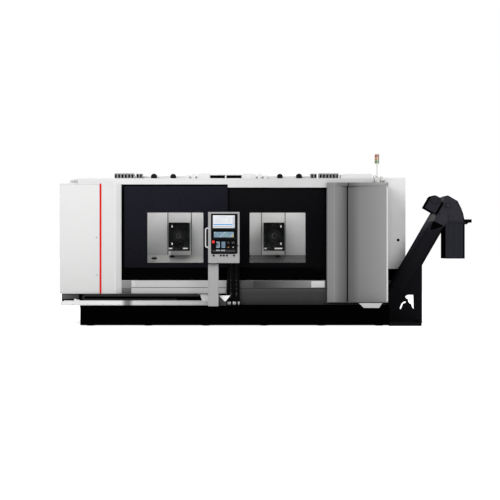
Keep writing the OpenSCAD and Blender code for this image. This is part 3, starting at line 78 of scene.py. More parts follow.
class Finish:
    def __init__(self, name, **shader):
        self.material = bpy.data.materials.new(name)
        finishes[name] = self.material
        self.material.use_nodes = True
        self.tree = self.material.node_tree
        self.surface = self.tree.nodes["Principled BSDF"]
        for socket, value in shader.items():
            self.surface.inputs[socket.replace("_", " ")].default_value = value
        self.place = self.node("ShaderNodeTexCoord", output=3)
        axes = self.tree.nodes.new("ShaderNodeSeparateXYZ")
        self.tree.links.new(self.place.socket, axes.inputs[0])
        self.x, self.y, self.z = [Value(self.tree, axes.outputs[i]) for i in range(3)]

    def node(self, kind, settings=None, inputs=None, output=0):
        made = self.tree.nodes.new(kind)
        for key, value in (settings or {}).items():
            if key == "stops":
                while len(made.color_ramp.elements) < len(value):
                    made.color_ramp.elements.new(0.5)
                for stop, (position, colour) in zip(made.color_ramp.elements, value):
                    stop.position = position
                    stop.color = colour
            else:
                setattr(made, key, value)
        for key, value in (inputs or {}).items():
            if isinstance(value, Value):
                self.tree.links.new(value.socket, made.inputs[key])
            else:
                made.inputs[key].default_value = value
        return Value(self.tree, made.outputs[output])

    def noise(self, scale, detail=2.0, stretch=None, contrast=None):
        where = self.place
        if stretch:
            where = self.node("ShaderNodeMapping", {}, {"Vector": where, "Scale": stretch})
        made = self.node("ShaderNodeTexNoise", {}, {"Vector": where, "Scale": scale, "Detail": detail})
        return ((made - 0.5) * contrast + 0.5).held() if contrast else made

    # the factor may pass 1, so that a tone can also brighten
    def blend(self, factor, first, second):
        return self.node("ShaderNodeMix", {"data_type": "RGBA", "clamp_factor": False},
                         {0: factor, 6: first, 7: second}, 2)

    # brightness that changes along the part, from (axis, start, end, stops)
    def toned(self, tone, tones):
        for axis, start, end, stops in tones:
            along = ((getattr(self, axis) - start) / (end - start)).held()
            ramp = self.node("ShaderNodeValToRGB", {"stops": [(p, (k, k, k, 1.0)) for p, k in stops]}, {0: along})
            tone = self.blend(ramp, (0.0, 0.0, 0.0, 1.0), tone)
        return tone

    def feed(self, socket, value):
        self.tree.links.new(value.socket, self.surface.inputs[socket])

    def bump(self, height, strength, distance):
        self.feed("Normal", self.node("ShaderNodeBump", {},
                                      {"Height": height, "Strength": strength, "Distance": distance}))


# a colour may be given as one number, its grey
def tint(colour, factor=1.0):
    colour = colour if isinstance(colour, tuple) else (colour,) * 3
    return (*[min(1.0, c * factor) for c in colour], 1.0)


# powder coat or lacquer: clouded tone, orange peel, dust that settles low, runs down the faces;
# tones lists (axis, start, end, stops) for brightness that changes along the part, mostly painted light and shade
def paint(name, colour, roughness=0.45, peel=0.2, cloud=0.05, dust=0.0, dustTop=1.2, gloss=0.5, tones=()):
    f = Finish(name, Specular_IOR_Level=gloss)
    clouds = f.noise(0.9, 4.0, contrast=1.6)
    specks = f.noise(55.0, 3.0, contrast=2.0)
    runs = f.noise(1.0, 3.0, stretch=(9.0, 9.0, 0.35), contrast=2.2)
    low = (1.0 - f.z / dustTop).held()
    grime = (low * low * (0.45 + 0.55 * runs) * dust).held()
    tone = f.blend(clouds * cloud + runs * (cloud * 0.6), tint(colour), tint(colour, 0.72))
    tone = f.toned(tone, tones)
    plain = tint(colour)[:3]
    dusty = tuple(c * 0.55 + min(0.16, 6.0 * c) if max(plain) < 0.3 else c * 0.62 for c in plain)
    f.feed("Base Color", f.blend(grime + specks * 0.02, tone, tint(dusty)))
    f.feed("Roughness", roughness + 0.10 * (clouds - 0.5) + 0.25 * grime + 0.05 * (specks - 0.5))
    f.bump(f.noise(420.0, 1.0) + 0.4 * f.noise(110.0, 1.0), peel, 0.0006)


# milled or turned metal with fine lines along one direction
def machined(name, colour, roughness=0.32, lines=(4.0, 260.0, 260.0), oil=0.2, metal=1.0, gloss=0.5, tones=()):
    f = Finish(name, Metallic=metal, Specular_IOR_Level=gloss)
    grain = f.noise(1.0, 3.0, stretch=lines, contrast=1.8)
    stains = f.noise(3.5, 4.0, contrast=2.4)
    f.feed("Base Color", f.toned(f.blend(stains * oil + grain * 0.10, tint(colour), tint(colour, 0.55)), tones))
    f.feed("Roughness", roughness + 0.18 * (grain - 0.5) + 0.16 * stains * oil)
    f.bump(grain, 0.12, 0.0004)


def moulded(name, colour, roughness=0.5, grain=0.25, scale=520.0, gloss=0.5):
    f = Finish(name, Specular_IOR_Level=gloss)
    pits = f.noise(scale, 2.0, contrast=1.5)
    wear = f.noise(14.0, 4.0, contrast=2.6)
    worn = 1.7 if max(tint(colour)[:3]) < 0.2 else 0.8
    f.feed("Base Color", f.blend(wear * 0.16 + pits * 0.05, tint(colour), tint(colour, worn)))
    f.feed("Roughness", roughness + 0.12 * (wear - 0.5) + 0.08 * (pits - 0.5))
    f.bump(pits, grain, 0.0004)


# window pane: a light green-grey laminate with faint coolant splashes near its lower edge
def pane(name, colour, low, high):
    f = Finish(name, IOR=1.5, Specular_IOR_Level=0.5)
    drops = f.node("ShaderNodeTexVoronoi", {"feature": "DISTANCE_TO_EDGE"}, {"Vector": f.place, "Scale": 70.0})
    fade = (1.0 - (f.z - low) / (high - low)).held()
    spatter = (f.noise(9.0, 5.0, contrast=3.0) * fade * (drops > 0.09)).held()
    f.feed("Base Color", f.blend(spatter * 0.5, tint(colour), (0.5, 0.51, 0.5, 1.0)))
    f.feed("Roughness", 0.03 + 0.3 * spatter)
    f.feed("Alpha", 0.045 + 0.04 * spatter)


def glowing(name, colour, strength, base=0.8):
    f = Finish(name, Roughness=0.25, Emission_Strength=strength)
    rings = f.noise(160.0, 1.0)
    f.feed("Base Color", f.blend(rings * 0.2, tint(base), tint(base, 0.7)))
    f.feed("Emission Color", f.blend(rings * 0.25, tint(colour), tint(colour, 0.8)))

cast = {"peel": 0.5, "cloud": 0.12}
# left end housing: lighter towards the top, and a lighter bent strip at its right edge, painted light
paint("housingWhite", (0.76, 0.76, 0.757), 0.42, dust=0.12, tones=[
    ("z", 0.6, 2.6, [(0.0, 0.79), (0.5, 0.85), (1.0, 0.88)]),
    ("x", -3.0, -2.9, [(0.0, 0.97), (0.45, 0.97), (0.75, 1.25)])])
# access door: lighter towards the top, painted light
paint("accessWhite", (0.69, 0.69, 0.687), 0.42, dust=0.12, tones=[
    ("z", 0.6, 2.6, [(0.0, 0.86), (0.5, 0.94), (1.0, 0.97)])])
paint("bodyGrey", (0.62, 0.62, 0.618), 0.44, dust=0.1)
# end cover: darker at its left edge by the cabinet and in its upper part, painted shade
paint("endGrey", 0.98, 0.44, tones=[
    ("x", 2.28, 2.78, [(0.0, 0.76), (0.5, 1.0)]),
    ("z", 1.06, 2.88, [(0.0, 1.0), (0.25, 1.0), (0.6, 0.91), (1.0, 0.92)])])
# cabinet leaves and body: their grey is the shaded grey of the front, darker towards the seam of the leaves, painted
# shade; the narrow peak on the left leaf is a painted highlight on its bend
paint("leafLeft", (0.3, 0.3, 0.302), 0.4, dust=0.02, tones=[
    ("x", 1.1, 1.51, [(0.0, 0.66), (0.33, 0.68), (0.345, 0.95), (0.37, 0.66), (0.62, 0.42), (1.0, 0.27)])])
paint("leafRight", (0.3, 0.3, 0.302), 0.4, dust=0.02, tones=[
    ("x", 1.51, 2.276, [(0.0, 0.26), (0.12, 0.33), (0.3, 0.6), (0.9, 0.86)])])
paint("leafHeader", (0.24, 0.24, 0.242), 0.4, dust=0.02)
# left apron and carriage: lighter towards the right end, painted light that lifts the panel's shadow
paint("apronGrey", 0.5, 0.36, dust=0.1, tones=[
    ("x", -1.0, -0.82, [(0.0, 1.0), (0.35, 1.4), (1.0, 1.7)])])
# right apron: dark grey, darker towards the bottom, painted shade on a panel like the left one
paint("apronDark", (0.066, 0.066, 0.069), 0.34, dust=0.1, gloss=0.3, tones=[
    ("z", 0.61, 0.86, [(0.0, 0.4), (0.45, 0.75), (1.0, 1.0)])])
# front rail: a dark patch below the housing's corner, and darker towards the right, painted shade
paint("railGrey", 0.73, 0.36, dust=0.03, tones=[
    ("x", -4.0, -0.8, [(0.0, 1.0), (0.372, 1.0), (0.395, 0.24), (0.42, 0.14), (0.445, 0.8), (0.88, 0.48)])])
paint("trayGrey", 0.5, 0.36, dust=0.03)
paint("pillarGrey", 0.33, 0.42, peel=0.45, dust=0.12)
# pillar: darker just under the panel housing, painted shadow
paint("postGrey", 0.33, 0.42, peel=0.45, dust=0.12, tones=[
    ("z", 1.09, 1.2, [(0.0, 1.0), (0.35, 0.85), (1.0, 0.3)])])
# trough: lighter at its open left end, painted light falling into the slot
paint("troughGrey", (0.085, 0.085, 0.088), 0.45, tones=[
    ("x", -3.96, -3.66, [(0.0, 1.0), (1.0, 0.3)])])
# upper band of the right apron: dark at the left, lighter towards the right, painted shade and reflection
paint("apronBand", (0.23, 0.23, 0.232), 0.36, gloss=0.3, tones=[
    ("x", -0.56, 0.8, [(0.0, 0.1), (0.2, 0.11), (0.38, 0.2), (0.6, 0.42), (1.0, 0.9)])])
# roof fascia: darker towards the right, painted light falloff
paint("roofWhite", 0.68, 0.45, dust=0.12, tones=[
    ("x", -1.2, 0.2, [(0.0, 1.0), (1.0, 0.84)])])
paint("roofPale", 0.74, 0.45, dust=0.12)
# doors: darker towards the bottom, painted shade; the right door, set behind, takes a darker copy, darker again
# towards the right, also painted shade
paint("doorLacquer", (0.0098, 0.0098, 0.0155), 0.26, peel=0.12, dust=0.01, gloss=0.05, tones=[
    ("z", 1.1, 2.7, [(0.0, 0.4), (0.5, 0.8), (1.0, 1.0)])])
paint("doorLacquerInner", (0.0066, 0.0066, 0.0082), 0.28, peel=0.12, dust=0.01, gloss=0.02, tones=[
    ("z", 1.1, 2.7, [(0.0, 0.4), (0.55, 0.55), (1.0, 1.0)]), ("x", -0.8, 1.1, [(0.0, 1.0), (1.0, 0.62)])])
paint("kickGloss", (0.001, 0.001, 0.0012), 0.14, peel=0.05, gloss=0.004)
paint("baseBlack", 0.0006, 0.55, dustTop=0.5, gloss=0.0)
paint("postBlack", (0.0018, 0.0018, 0.002), 0.35, gloss=0.04)
paint("anthracite", (0.029, 0.029, 0.037), 0.45, **cast, gloss=0.02)
# drive and chute: faces behind their front plane nearly black, painted shade on their sides
paint("driveDark", (0.0215, 0.022, 0.028), 0.45, **cast, gloss=0.0, tones=[
    ("y", -0.64, -0.636, [(0.0, 1.0), (1.0, 0.02)])])
paint("chuteDark", (0.0195, 0.0199, 0.026), 0.45, **cast, gloss=0.01, tones=[
    ("y", -0.596, -0.59, [(0.0, 1.0), (1.0, 0.1)])])
# conveyor casing: darker along the rise below the head, painted shade; its side faces lighter, painted light
paint("casingDark", (0.03, 0.03, 0.038), 0.45, **cast, gloss=0.0, tones=[
    ("z", 0.9, 2.1, [(0.0, 0.2), (0.75, 0.32), (0.96, 1.0)]), ("y", -0.596, -0.59, [(0.0, 1.0), (1.0, 2.6)])])
paint("gussetGrey", (0.068, 0.068, 0.07), 0.5, gloss=0.1)
paint("standBlack", (0.0036, 0.0036, 0.0046), 0.5, **cast, dust=0.02, gloss=0.04)
paint("redTrim", (0.7, 0.006, 0.006), 0.3, peel=0.05, cloud=0.02, gloss=0.1)
# cell walls: brightest about 0.4 m below the roof, darker towards the floor and the roof, painted light
machined("cellLining", 0.9, 0.42, (220.0, 220.0, 5.0), 0.12, 0.3, tones=[
    ("z", 1.33, 2.6, [(0.0, 0.5), (0.33, 0.72), (0.67, 1.0), (0.74, 0.72), (1.0, 0.3)])])
machined("coverSteel", 0.86, 0.36, (200.0, 200.0, 4.0), 0.1, 0.2)
machined("steel", (0.62, 0.62, 0.63), 0.28)
machined("turnedSteel", (0.66, 0.66, 0.67), 0.22, (300.0, 6.0, 300.0), 0.1)
machined("darkSteel", (0.16, 0.16, 0.165), 0.4)
paint("spindleBlack", 0.0006, 0.5, gloss=0.0)
machined("spindleNose", (0.008, 0.008, 0.0085), 0.45, (300.0, 6.0, 300.0), 0.1, 0.2, 0.15)
moulded("blackPlastic", (0.003, 0.003, 0.0033), 0.42, gloss=0.12)
moulded("chainPlastic", (0.008, 0.008, 0.009), 0.5, gloss=0.3)
moulded("rubber", 0.004, 0.62, 0.4, 260.0, gloss=0.1)
moulded("hoseRubber", (0.014, 0.014, 0.015), 0.5, 0.4, 260.0, gloss=0.5)
moulded("whitePlastic", (0.72, 0.72, 0.71), 0.3, 0.08)
moulded("redPlastic", (0.7, 0.012, 0.008), 0.25, 0.06)
moulded("bezelBlack", (0.002, 0.002, 0.0023), 0.3, 0.12, gloss=0.08)
moulded("ringBlack", 0.0012, 0.4, 0.12, gloss=0.0)
# dark end plates of the left apron, darker towards the bottom: painted shadow of the housing's corner
paint("apronCornerShade", 0.3, 0.36, tones=[
    ("z", 0.607, 0.858, [(0.0, 0.22), (0.43, 0.34), (0.46, 0.72), (1.0, 0.72)])])
paint("apronBright", 0.56, 0.32, dust=0.1)
# pale paint, also used for painted highlights on the signal lamp and the cabinet's edge
paint("edgeBright", 0.78, 0.3, dust=0.02)
paint("shadeGrey", 0.042, 0.5, gloss=0.1)
paint("roofGrey", (0.34, 0.34, 0.345), 0.45, dust=0.12)
moulded("wiperGrey", (0.13, 0.13, 0.132), 0.6)
machined("floorPale", (0.56, 0.56, 0.55), 0.45, (4.0, 160.0, 160.0), 0.3, 0.2)
# a darker copy of floorPale for the right cell's floor, painted shade
machined("floorDark", 0.12, 0.45, (4.0, 160.0, 160.0), 0.3, 0.2)
machined("spindleTrim", (0.0013, 0.0013, 0.0015), 0.5, (90.0, 90.0, 90.0), 0.3, 0.0, 0.1)
machined("spindleRing", 0.032, 0.35, (300.0, 6.0, 300.0), 0.1, 0.5, 0.3)
moulded("bezelEdge", (0.015, 0.015, 0.016), 0.28, 0.1, gloss=0.3)
moulded("ridgeBlack", 0.002, 0.6, 0.2, gloss=0.03)
glowing("screenPale", (0.7, 0.74, 0.79), 0.46, (0.45, 0.45, 0.45))
glowing("screenBlue", (0.07, 0.3, 0.66), 0.62, (0.05, 0.14, 0.32))
glowing("screenGrey", (0.42, 0.47, 0.54), 0.5, (0.25, 0.25, 0.25))
moulded("foilBlue", (0.12, 0.2, 0.27), 0.35, 0.1)
moulded("keyBlue", (0.24, 0.37, 0.48), 0.35, 0.1)
moulded("keyPale", (0.6, 0.66, 0.7), 0.35, 0.1)
moulded("keyGreen", (0.3, 0.52, 0.4), 0.35, 0.1)
moulded("keyYellow", (0.72, 0.6, 0.1), 0.35, 0.1)
moulded("keyOrange", (0.75, 0.3, 0.06), 0.35, 0.1)
moulded("keyDark", (0.035, 0.035, 0.038), 0.4, 0.1)
glowing("lensRed", (0.9, 0.03, 0.02), 0.02, (0.34, 0.11, 0.1))
glowing("lensAmber", (1.0, 0.42, 0.02), 0.02, (0.42, 0.23, 0.11))
glowing("lensGreen", (0.05, 0.55, 0.16), 0.02, (0.15, 0.23, 0.12))
glowing("cellLight", (1.0, 1.0, 0.98), 30.5)
glowing("cellLightLow", (1.0, 1.0, 0.98), 7.0)
glowing("lampLens", (1.0, 0.98, 0.93), 0.75)
print("finishes made:", len(finishes))

nodeFinish = {
    "housingWhite": ["left_end_housing"], "accessWhite": ["access_door"], "redTrim": ["red_trim"],
    "bodyGrey": ["rear_housing"], "endGrey": ["right_end_cover"], "leafHeader": ["cabinet_body"],
    "leafLeft": ["cabinet_left_leaf"], "leafRight": ["cabinet_right_leaf"], "trayGrey": ["cabinet_tray"],
    "apronGrey": ["left_apron", "panel_carriage"], "apronDark": ["right_apron"], "railGrey": ["front_rail"],
    "postGrey": ["panel_pillar"], "pillarGrey": ["panel_housing"], "roofWhite": ["roof_fascia"],
    "roofPale": ["extraction_unit", "roof_drives", "fluid_box"], "roofGrey": ["roof_cable_guides"],
    "doorLacquer": ["left_door"], "doorLacquerInner": ["right_door"], "postBlack": ["utility_post"],
    "baseBlack": ["machine_bed", "pump_unit"], "driveDark": ["conveyor_drive"], "chuteDark": ["discharge_chute"],
    "casingDark": ["conveyor_casing"], "standBlack": ["conveyor_stand"], "turnedSteel": ["conveyor_shaft"],
    "darkSteel": ["conveyor_belt"], "cellLining": ["cell_frame"],
    "coverSteel": ["left_head_slide", "right_head_slide"],
    "steel": ["left_table", "right_table", "upper_lock", "lower_lock", "leveling_feet"],
    "spindleNose": ["left_spindle", "right_spindle"], "spindleBlack": ["left_ram", "right_ram"],
    "blackPlastic": ["feed_knob", "spindle_knob"], "ringBlack": [f"push_button_{i}" for i in range(1, 6)],
    "chainPlastic": ["energy_chain"], "rubber": ["service_hoses"], "redPlastic": ["emergency_stop"],
    "whitePlastic": ["panel_handle", "signal_tower"],
    "bezelBlack": ["display_unit", "keyboard_unit", "machine_panel"],
}
windows = {name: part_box(name) for name in ("left_window", "right_window")}
for name, (low, high) in windows.items():
    pane(name + "Pane", (0.022, 0.025, 0.0245), low.z, high.z)
    nodeFinish[name + "Pane"] = [name]
for finish, names in nodeFinish.items():
    for name in names:
        nodes[name].data.materials.clear()
        nodes[name].data.materials.append(finishes[finish])
print("CAD nodes finished:", sum(len(names) for names in nodeFinish.values()))

turns = {"front": Matrix.Rotation(pi / 2, 4, "X"), "up": Matrix(), "back": Matrix.Rotation(-pi / 2, 4, "X"),
         "right": Matrix.Rotation(pi / 2, 4, "Y"), "left": Matrix.Rotation(-pi / 2, 4, "Y")}


def tilted(angle, axis="X"):
    return Matrix.Rotation(radians(angle), 4, axis)


# a piece under construction: worked shapes gathered in one mesh, each made where it belongs
class Piece:
    def __init__(self):
        self.whole = bmesh.new()
        self.part = bpy.data.meshes.new("part")

    def take(self, shape, matrix=None):
        if matrix:
            bmesh.ops.transform(shape, matrix=matrix, verts=shape.verts)
        shape.to_mesh(self.part)
        shape.free()
        self.whole.from_mesh(self.part)
        return self

    def rounded(self, shape, edges, radius, steps):
        bmesh.ops.bevel(shape, geom=edges, offset=radius, offset_type="OFFSET", affect="EDGES",
                        segments=steps, profile=0.5, material=-1)

    # a cube as large as the span between two corners, and where its middle belongs
    def cube(self, low, high):
        shape = bmesh.new()
        bmesh.ops.create_cube(shape, size=1.0)
        bmesh.ops.scale(shape, vec=[b - a for a, b in zip(low, high)], verts=shape.verts)
        return shape, Matrix.Translation([(a + b) / 2 for a, b in zip(low, high)])

    # a block with softened edges, turned about its middle if asked
    def block(self, low, high, edge=0.001, steps=2, turn=None):
        shape, middle = self.cube(low, high)
        if edge:
            self.rounded(shape, shape.edges[:], edge, steps)
        return self.take(shape, middle @ (turn or Matrix()))

    # equal blocks, each one step further
    def rows(self, low, high, count, step, edge, turn=None):
        for k in range(count):
            self.block([a + k * s for a, s in zip(low, step)], [b + k * s for b, s in zip(high, step)], edge, 1, turn)
        return self

    # a shape spun from (radius, height) pairs about an axis that leaves the point
    def spun(self, profile, point, axis="front", sides=28):
        shape = bmesh.new()
        verts = [shape.verts.new((r, 0.0, h)) for r, h in profile]
        edges = [shape.edges.new(pair) for pair in zip(verts, verts[1:])]
        bmesh.ops.spin(shape, geom=verts + edges, cent=(0, 0, 0), axis=(0, 0, 1), dvec=(0, 0, 0),
                       angle=2 * pi, steps=sides, use_merge=True)
        bmesh.ops.remove_doubles(shape, verts=shape.verts, dist=0.000002)
        bmesh.ops.recalc_face_normals(shape, faces=shape.faces)
        return self.take(shape, Matrix.Translation(point) @ (turns[axis] if isinstance(axis, str) else axis))

    # a turned ring from its inner and outer radius, the height of its rim, and the radius and height of its top
    def collar(self, inner, outer, rim, top, height, point, axis="front", sides=28):
        return self.spun([(inner, 0), (outer, 0), (outer, rim), (top, height), (inner, height), (inner, 0)],
                         point, axis, sides)

    # a turned button from its radius, the height of its rim, and the radius and height of its top
    def button(self, radius, rim, top, height, point, axis="front", sides=28):
        return self.spun([(0, 0), (radius, 0), (radius, rim), (top, height), (0, height)], point, axis, sides)

    # a hexagon or cylinder head with a chamfered rim
    def head(self, radius, height, point, axis="front", sides=6):
        return self.button(radius, height * 0.8, radius * 0.86, height, point, axis, sides)

    # heads at every x and z
    def heads(self, radius, height, xs, y, zs, axis="front", sides=12):
        for x in xs:
            for z in zs:
                self.head(radius, height, (x, y, z), axis, sides)
        return self

    # a flat outline given in two axes, drawn out along the third
    def plate(self, outline, span, plane="XZ", edge=0.0, steps=2):
        place, push = {"XZ": (lambda a, b: (a, span[0], b), (0, 1, 0)),
                       "YZ": (lambda a, b: (span[0], a, b), (1, 0, 0)),
                       "XY": (lambda a, b: (a, b, span[0]), (0, 0, 1))}[plane]
        shape = bmesh.new()
        face = shape.faces.new([shape.verts.new(place(a, b)) for a, b in outline])
        drawn = bmesh.ops.extrude_face_region(shape, geom=[face])
        bmesh.ops.translate(shape, vec=Vector(push) * (span[1] - span[0]),
                            verts=[v for v in drawn["geom"] if isinstance(v, bmesh.types.BMVert)])
        bmesh.ops.recalc_face_normals(shape, faces=shape.faces)
        if edge:
            self.rounded(shape, shape.edges[:], edge, steps)
        return self.take(shape)

    # an upright frame that faces the front, its corners rounded
    def frame(self, low, high, width, corner, steps=5):
        shape, middle = self.cube(low, high)
        upright = [e for e in shape.edges if abs((e.verts[0].co - e.verts[1].co).normalized().y) > 0.9]
        self.rounded(shape, upright, corner, steps)
        sides = [f for f in shape.faces if abs(f.normal.y) > 0.9]
        for side in sides:
            bmesh.ops.inset_region(shape, faces=[side], thickness=width, use_even_offset=True)
        loops = [e for side in sides for e in side.edges]
        bmesh.ops.delete(shape, geom=sides, context="FACES_ONLY")
        bmesh.ops.bridge_loops(shape, edges=loops)
        bmesh.ops.recalc_face_normals(shape, faces=shape.faces)
        return self.take(shape, middle)

    # a strip between two points of the front plane
    def strip(self, start, end, width, y, edge=0.0005):
        run = Vector((end[0] - start[0], 0, end[1] - start[1]))
        x, z = (start[0] + end[0]) / 2, (start[1] + end[1]) / 2
        turn = Matrix.Rotation(-atan2(run.z, run.x), 4, "Y")
        return self.block((x - run.length / 2, y[0], z - width / 2), (x + run.length / 2, y[1], z + width / 2),
                          edge, 1, turn)

    # a round bar or pipe between points, bent with short arcs
    def pipe(self, points, radius, sides=14):
        curve = bpy.data.curves.new("run", "CURVE")
        curve.dimensions = "3D"
        curve.bevel_depth = radius
        curve.bevel_resolution = max(1, sides // 4)
        curve.use_fill_caps = True
        line = curve.splines.new("BEZIER")
        line.bezier_points.add(len(points) - 1)
        for knot, point in zip(line.bezier_points, points):
            knot.co = point
            knot.handle_left_type = knot.handle_right_type = "AUTO"
        curve.resolution_u = 6
        holder = bpy.data.objects.new("run", curve)
        self.whole.from_mesh(holder.to_mesh())
        holder.to_mesh_clear()
        bpy.data.objects.remove(holder)
        bpy.data.curves.remove(curve)
        return self

    def done(self, name, finish, slot, body="machine"):
        bpy.data.meshes.remove(self.part)
        mesh = bpy.data.meshes.new(name)
        for face in self.whole.faces:
            face.smooth = True
        self.whole.to_mesh(mesh)
        self.whole.free()
        mesh.set_sharp_from_angle(angle=radians(32))
        mesh.materials.append(finishes[finish])
        made = bpy.data.objects.new(name, mesh)
        scene.collection.objects.link(made)
        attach(made, body)
        return made


# the middle of a node's front: x, its foremost y, z
def frontOf(name):
    low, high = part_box(name)
    return (low.x + high.x) / 2, low.y, (low.z + high.z) / 2


# sliding doors: gloss kick plates, window gaskets, a rubber seal, dark bands of painted shadow along the edges
doorTrim = {"kickTop": 1.104, "proud": 0.0018, "gasket": 0.013, "overlap": 0.025, "corner": 0.016,
            "edgeBand": 0.054, "bandProud": 0.0022, "bandTop": 2.698}
for side in ("left", "right"):
    low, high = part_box(side + "_door")
    paneLow, paneHigh = windows[side + "_window"]
    face, body = low.y, side + "_door"
    kick = Piece().block((low.x + 0.002, face - doorTrim["proud"], low.z + 0.0135),
                         (high.x - 0.002, face + 0.0005, doorTrim["kickTop"]), 0.0008)
    kick.done(side + "KickPlate", "kickGloss", "door_paint", body)
    rim = doorTrim["gasket"] - doorTrim["overlap"]
    gasket = Piece().frame((paneLow.x - rim, face - 0.003, paneLow.z - rim),
                           (paneHigh.x + rim, face + 0.001, paneHigh.z + rim), doorTrim["gasket"], doorTrim["corner"])
    gasket.done(side + "WindowGasket", "rubber", "rubber", body)
    bead = Piece().frame((paneLow.x + 0.012, face + 0.026, paneLow.z + 0.012),
                         (paneHigh.x - 0.012, face + 0.04, paneHigh.z - 0.012), 0.012, 0.014)
    bead.done(side + "GlazingBead", "darkSteel", "steel", body)
low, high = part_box("left_door")
proud, band, top = low.y - doorTrim["bandProud"], low.x + doorTrim["edgeBand"], doorTrim["bandTop"]
# dark bands along the left door's left edge and its top, painted shadow of the housing's side and the fascia
edges = Piece().block((low.x + 0.002, proud, doorTrim["kickTop"] + 0.003), (band, low.y + 0.0005, top), 0.001)
edges.block((band + 0.002, proud, top - 0.026), (high.x - 0.014, low.y + 0.0005, top), 0.001)
edges.done("leftDoorShadowBands", "kickGloss", "door_paint", "left_door")
edgeStrip = Piece().block((high.x - 0.011, low.y - 0.004, low.z + 0.026), (high.x - 0.0005, low.y + 0.001, 2.7), 0.0018)
edgeStrip.done("leftDoorSeal", "rubber", "rubber", "left_door")
low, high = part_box("right_door")
# dark band along the right door's edge, painted shade
edgeStrip = Piece().block((high.x - 0.03, low.y - 0.003, low.z + 0.026), (high.x - 0.001, low.y + 0.001, 2.63), 0.0012)
edgeStrip.done("rightDoorShadowBand", "kickGloss", "door_paint", "right_door")
print("door trim made")

# aprons: end plates with their screws, the dark ones painted shadow of the housing's corner; a dark strip of painted
# shade on the step between the folds of the left one
aprons = {"dark": (-2.8215, -2.638), "bright": (-2.634, -2.562), "rightPlate": (0.808, 1.067), "screwPitch": 0.205}
low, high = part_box("left_apron")
leftFace = low.y
for name, finish in (("dark", "apronCornerShade"), ("bright", "apronBright")):
    x0, x1 = aprons[name]
    ends = Piece()
    if name == "dark":
        ends.block((x0, leftFace - 0.0018, low.z + 0.004), (x1, leftFace + 0.0005, low.z + 0.1195), 0.0007)
    ends.block((x0, leftFace + 0.0122, low.z + 0.121), (x1, leftFace + 0.0145, high.z - 0.005), 0.0007)
    ends.done("leftApron" + name.capitalize(), finish, "silver_paint")
# a dark strip over the step between the folds, painted shade
line = Piece().block((aprons["bright"][0], leftFace - 0.0006, low.z + 0.1085),
                     (high.x - 0.0015, leftFace + 0.0135, low.z + 0.1165), 0.001, 1)
line.done("leftApronStepShade", "ringBlack", "rubber")
low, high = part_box("right_apron")
x0, x1 = aprons["rightPlate"]
# plate on the right apron's upper band, carrying apronBand's painted shade and reflection
band = Piece().block((low.x + 0.262, low.y - 0.0016, 0.716), (x0 - 0.002, low.y + 0.0005, high.z - 0.003), 0.0007)
band.done("rightApronBand", "apronBand", "grey_paint")
plate = Piece().block((x0, low.y - 0.002, 0.722), (x1, low.y + 0.0005, 0.85), 0.0008)
plate.done("rightApronPlate", "apronBright", "grey_paint")
screws = Piece().heads(0.0055, 0.003, (x0 + 0.014, x1 - 0.014), low.y - 0.0015, (0.734, 0.838), sides=10)
screws.heads(0.005, 0.003, [-2.5 + i * aprons["screwPitch"] for i in range(9)], leftFace + 0.0005, [0.7], sides=10)
screws.done("apronScrews", "steel", "steel")
print("apron trim made")

# cells: work lights under the roof and behind the sill, wipers beside the head slides, floor sheets,
# coolant nozzles
cell = {"halfWidth": 0.65, "wall": -0.0965, "top": 2.6, "front": -0.9315, "floorBack": 1.33,
        "floorSlope": (1.33 - 0.888) / 0.49, "sheetFront": -0.3, "nozzle": {"left": -0.15, "right": 0.095}}
wall, top, front = cell["wall"], cell["top"], cell["front"]


# the height of the sloping floor
def slopeZ(y):
    return cell["floorBack"] - (wall - y) * cell["floorSlope"]


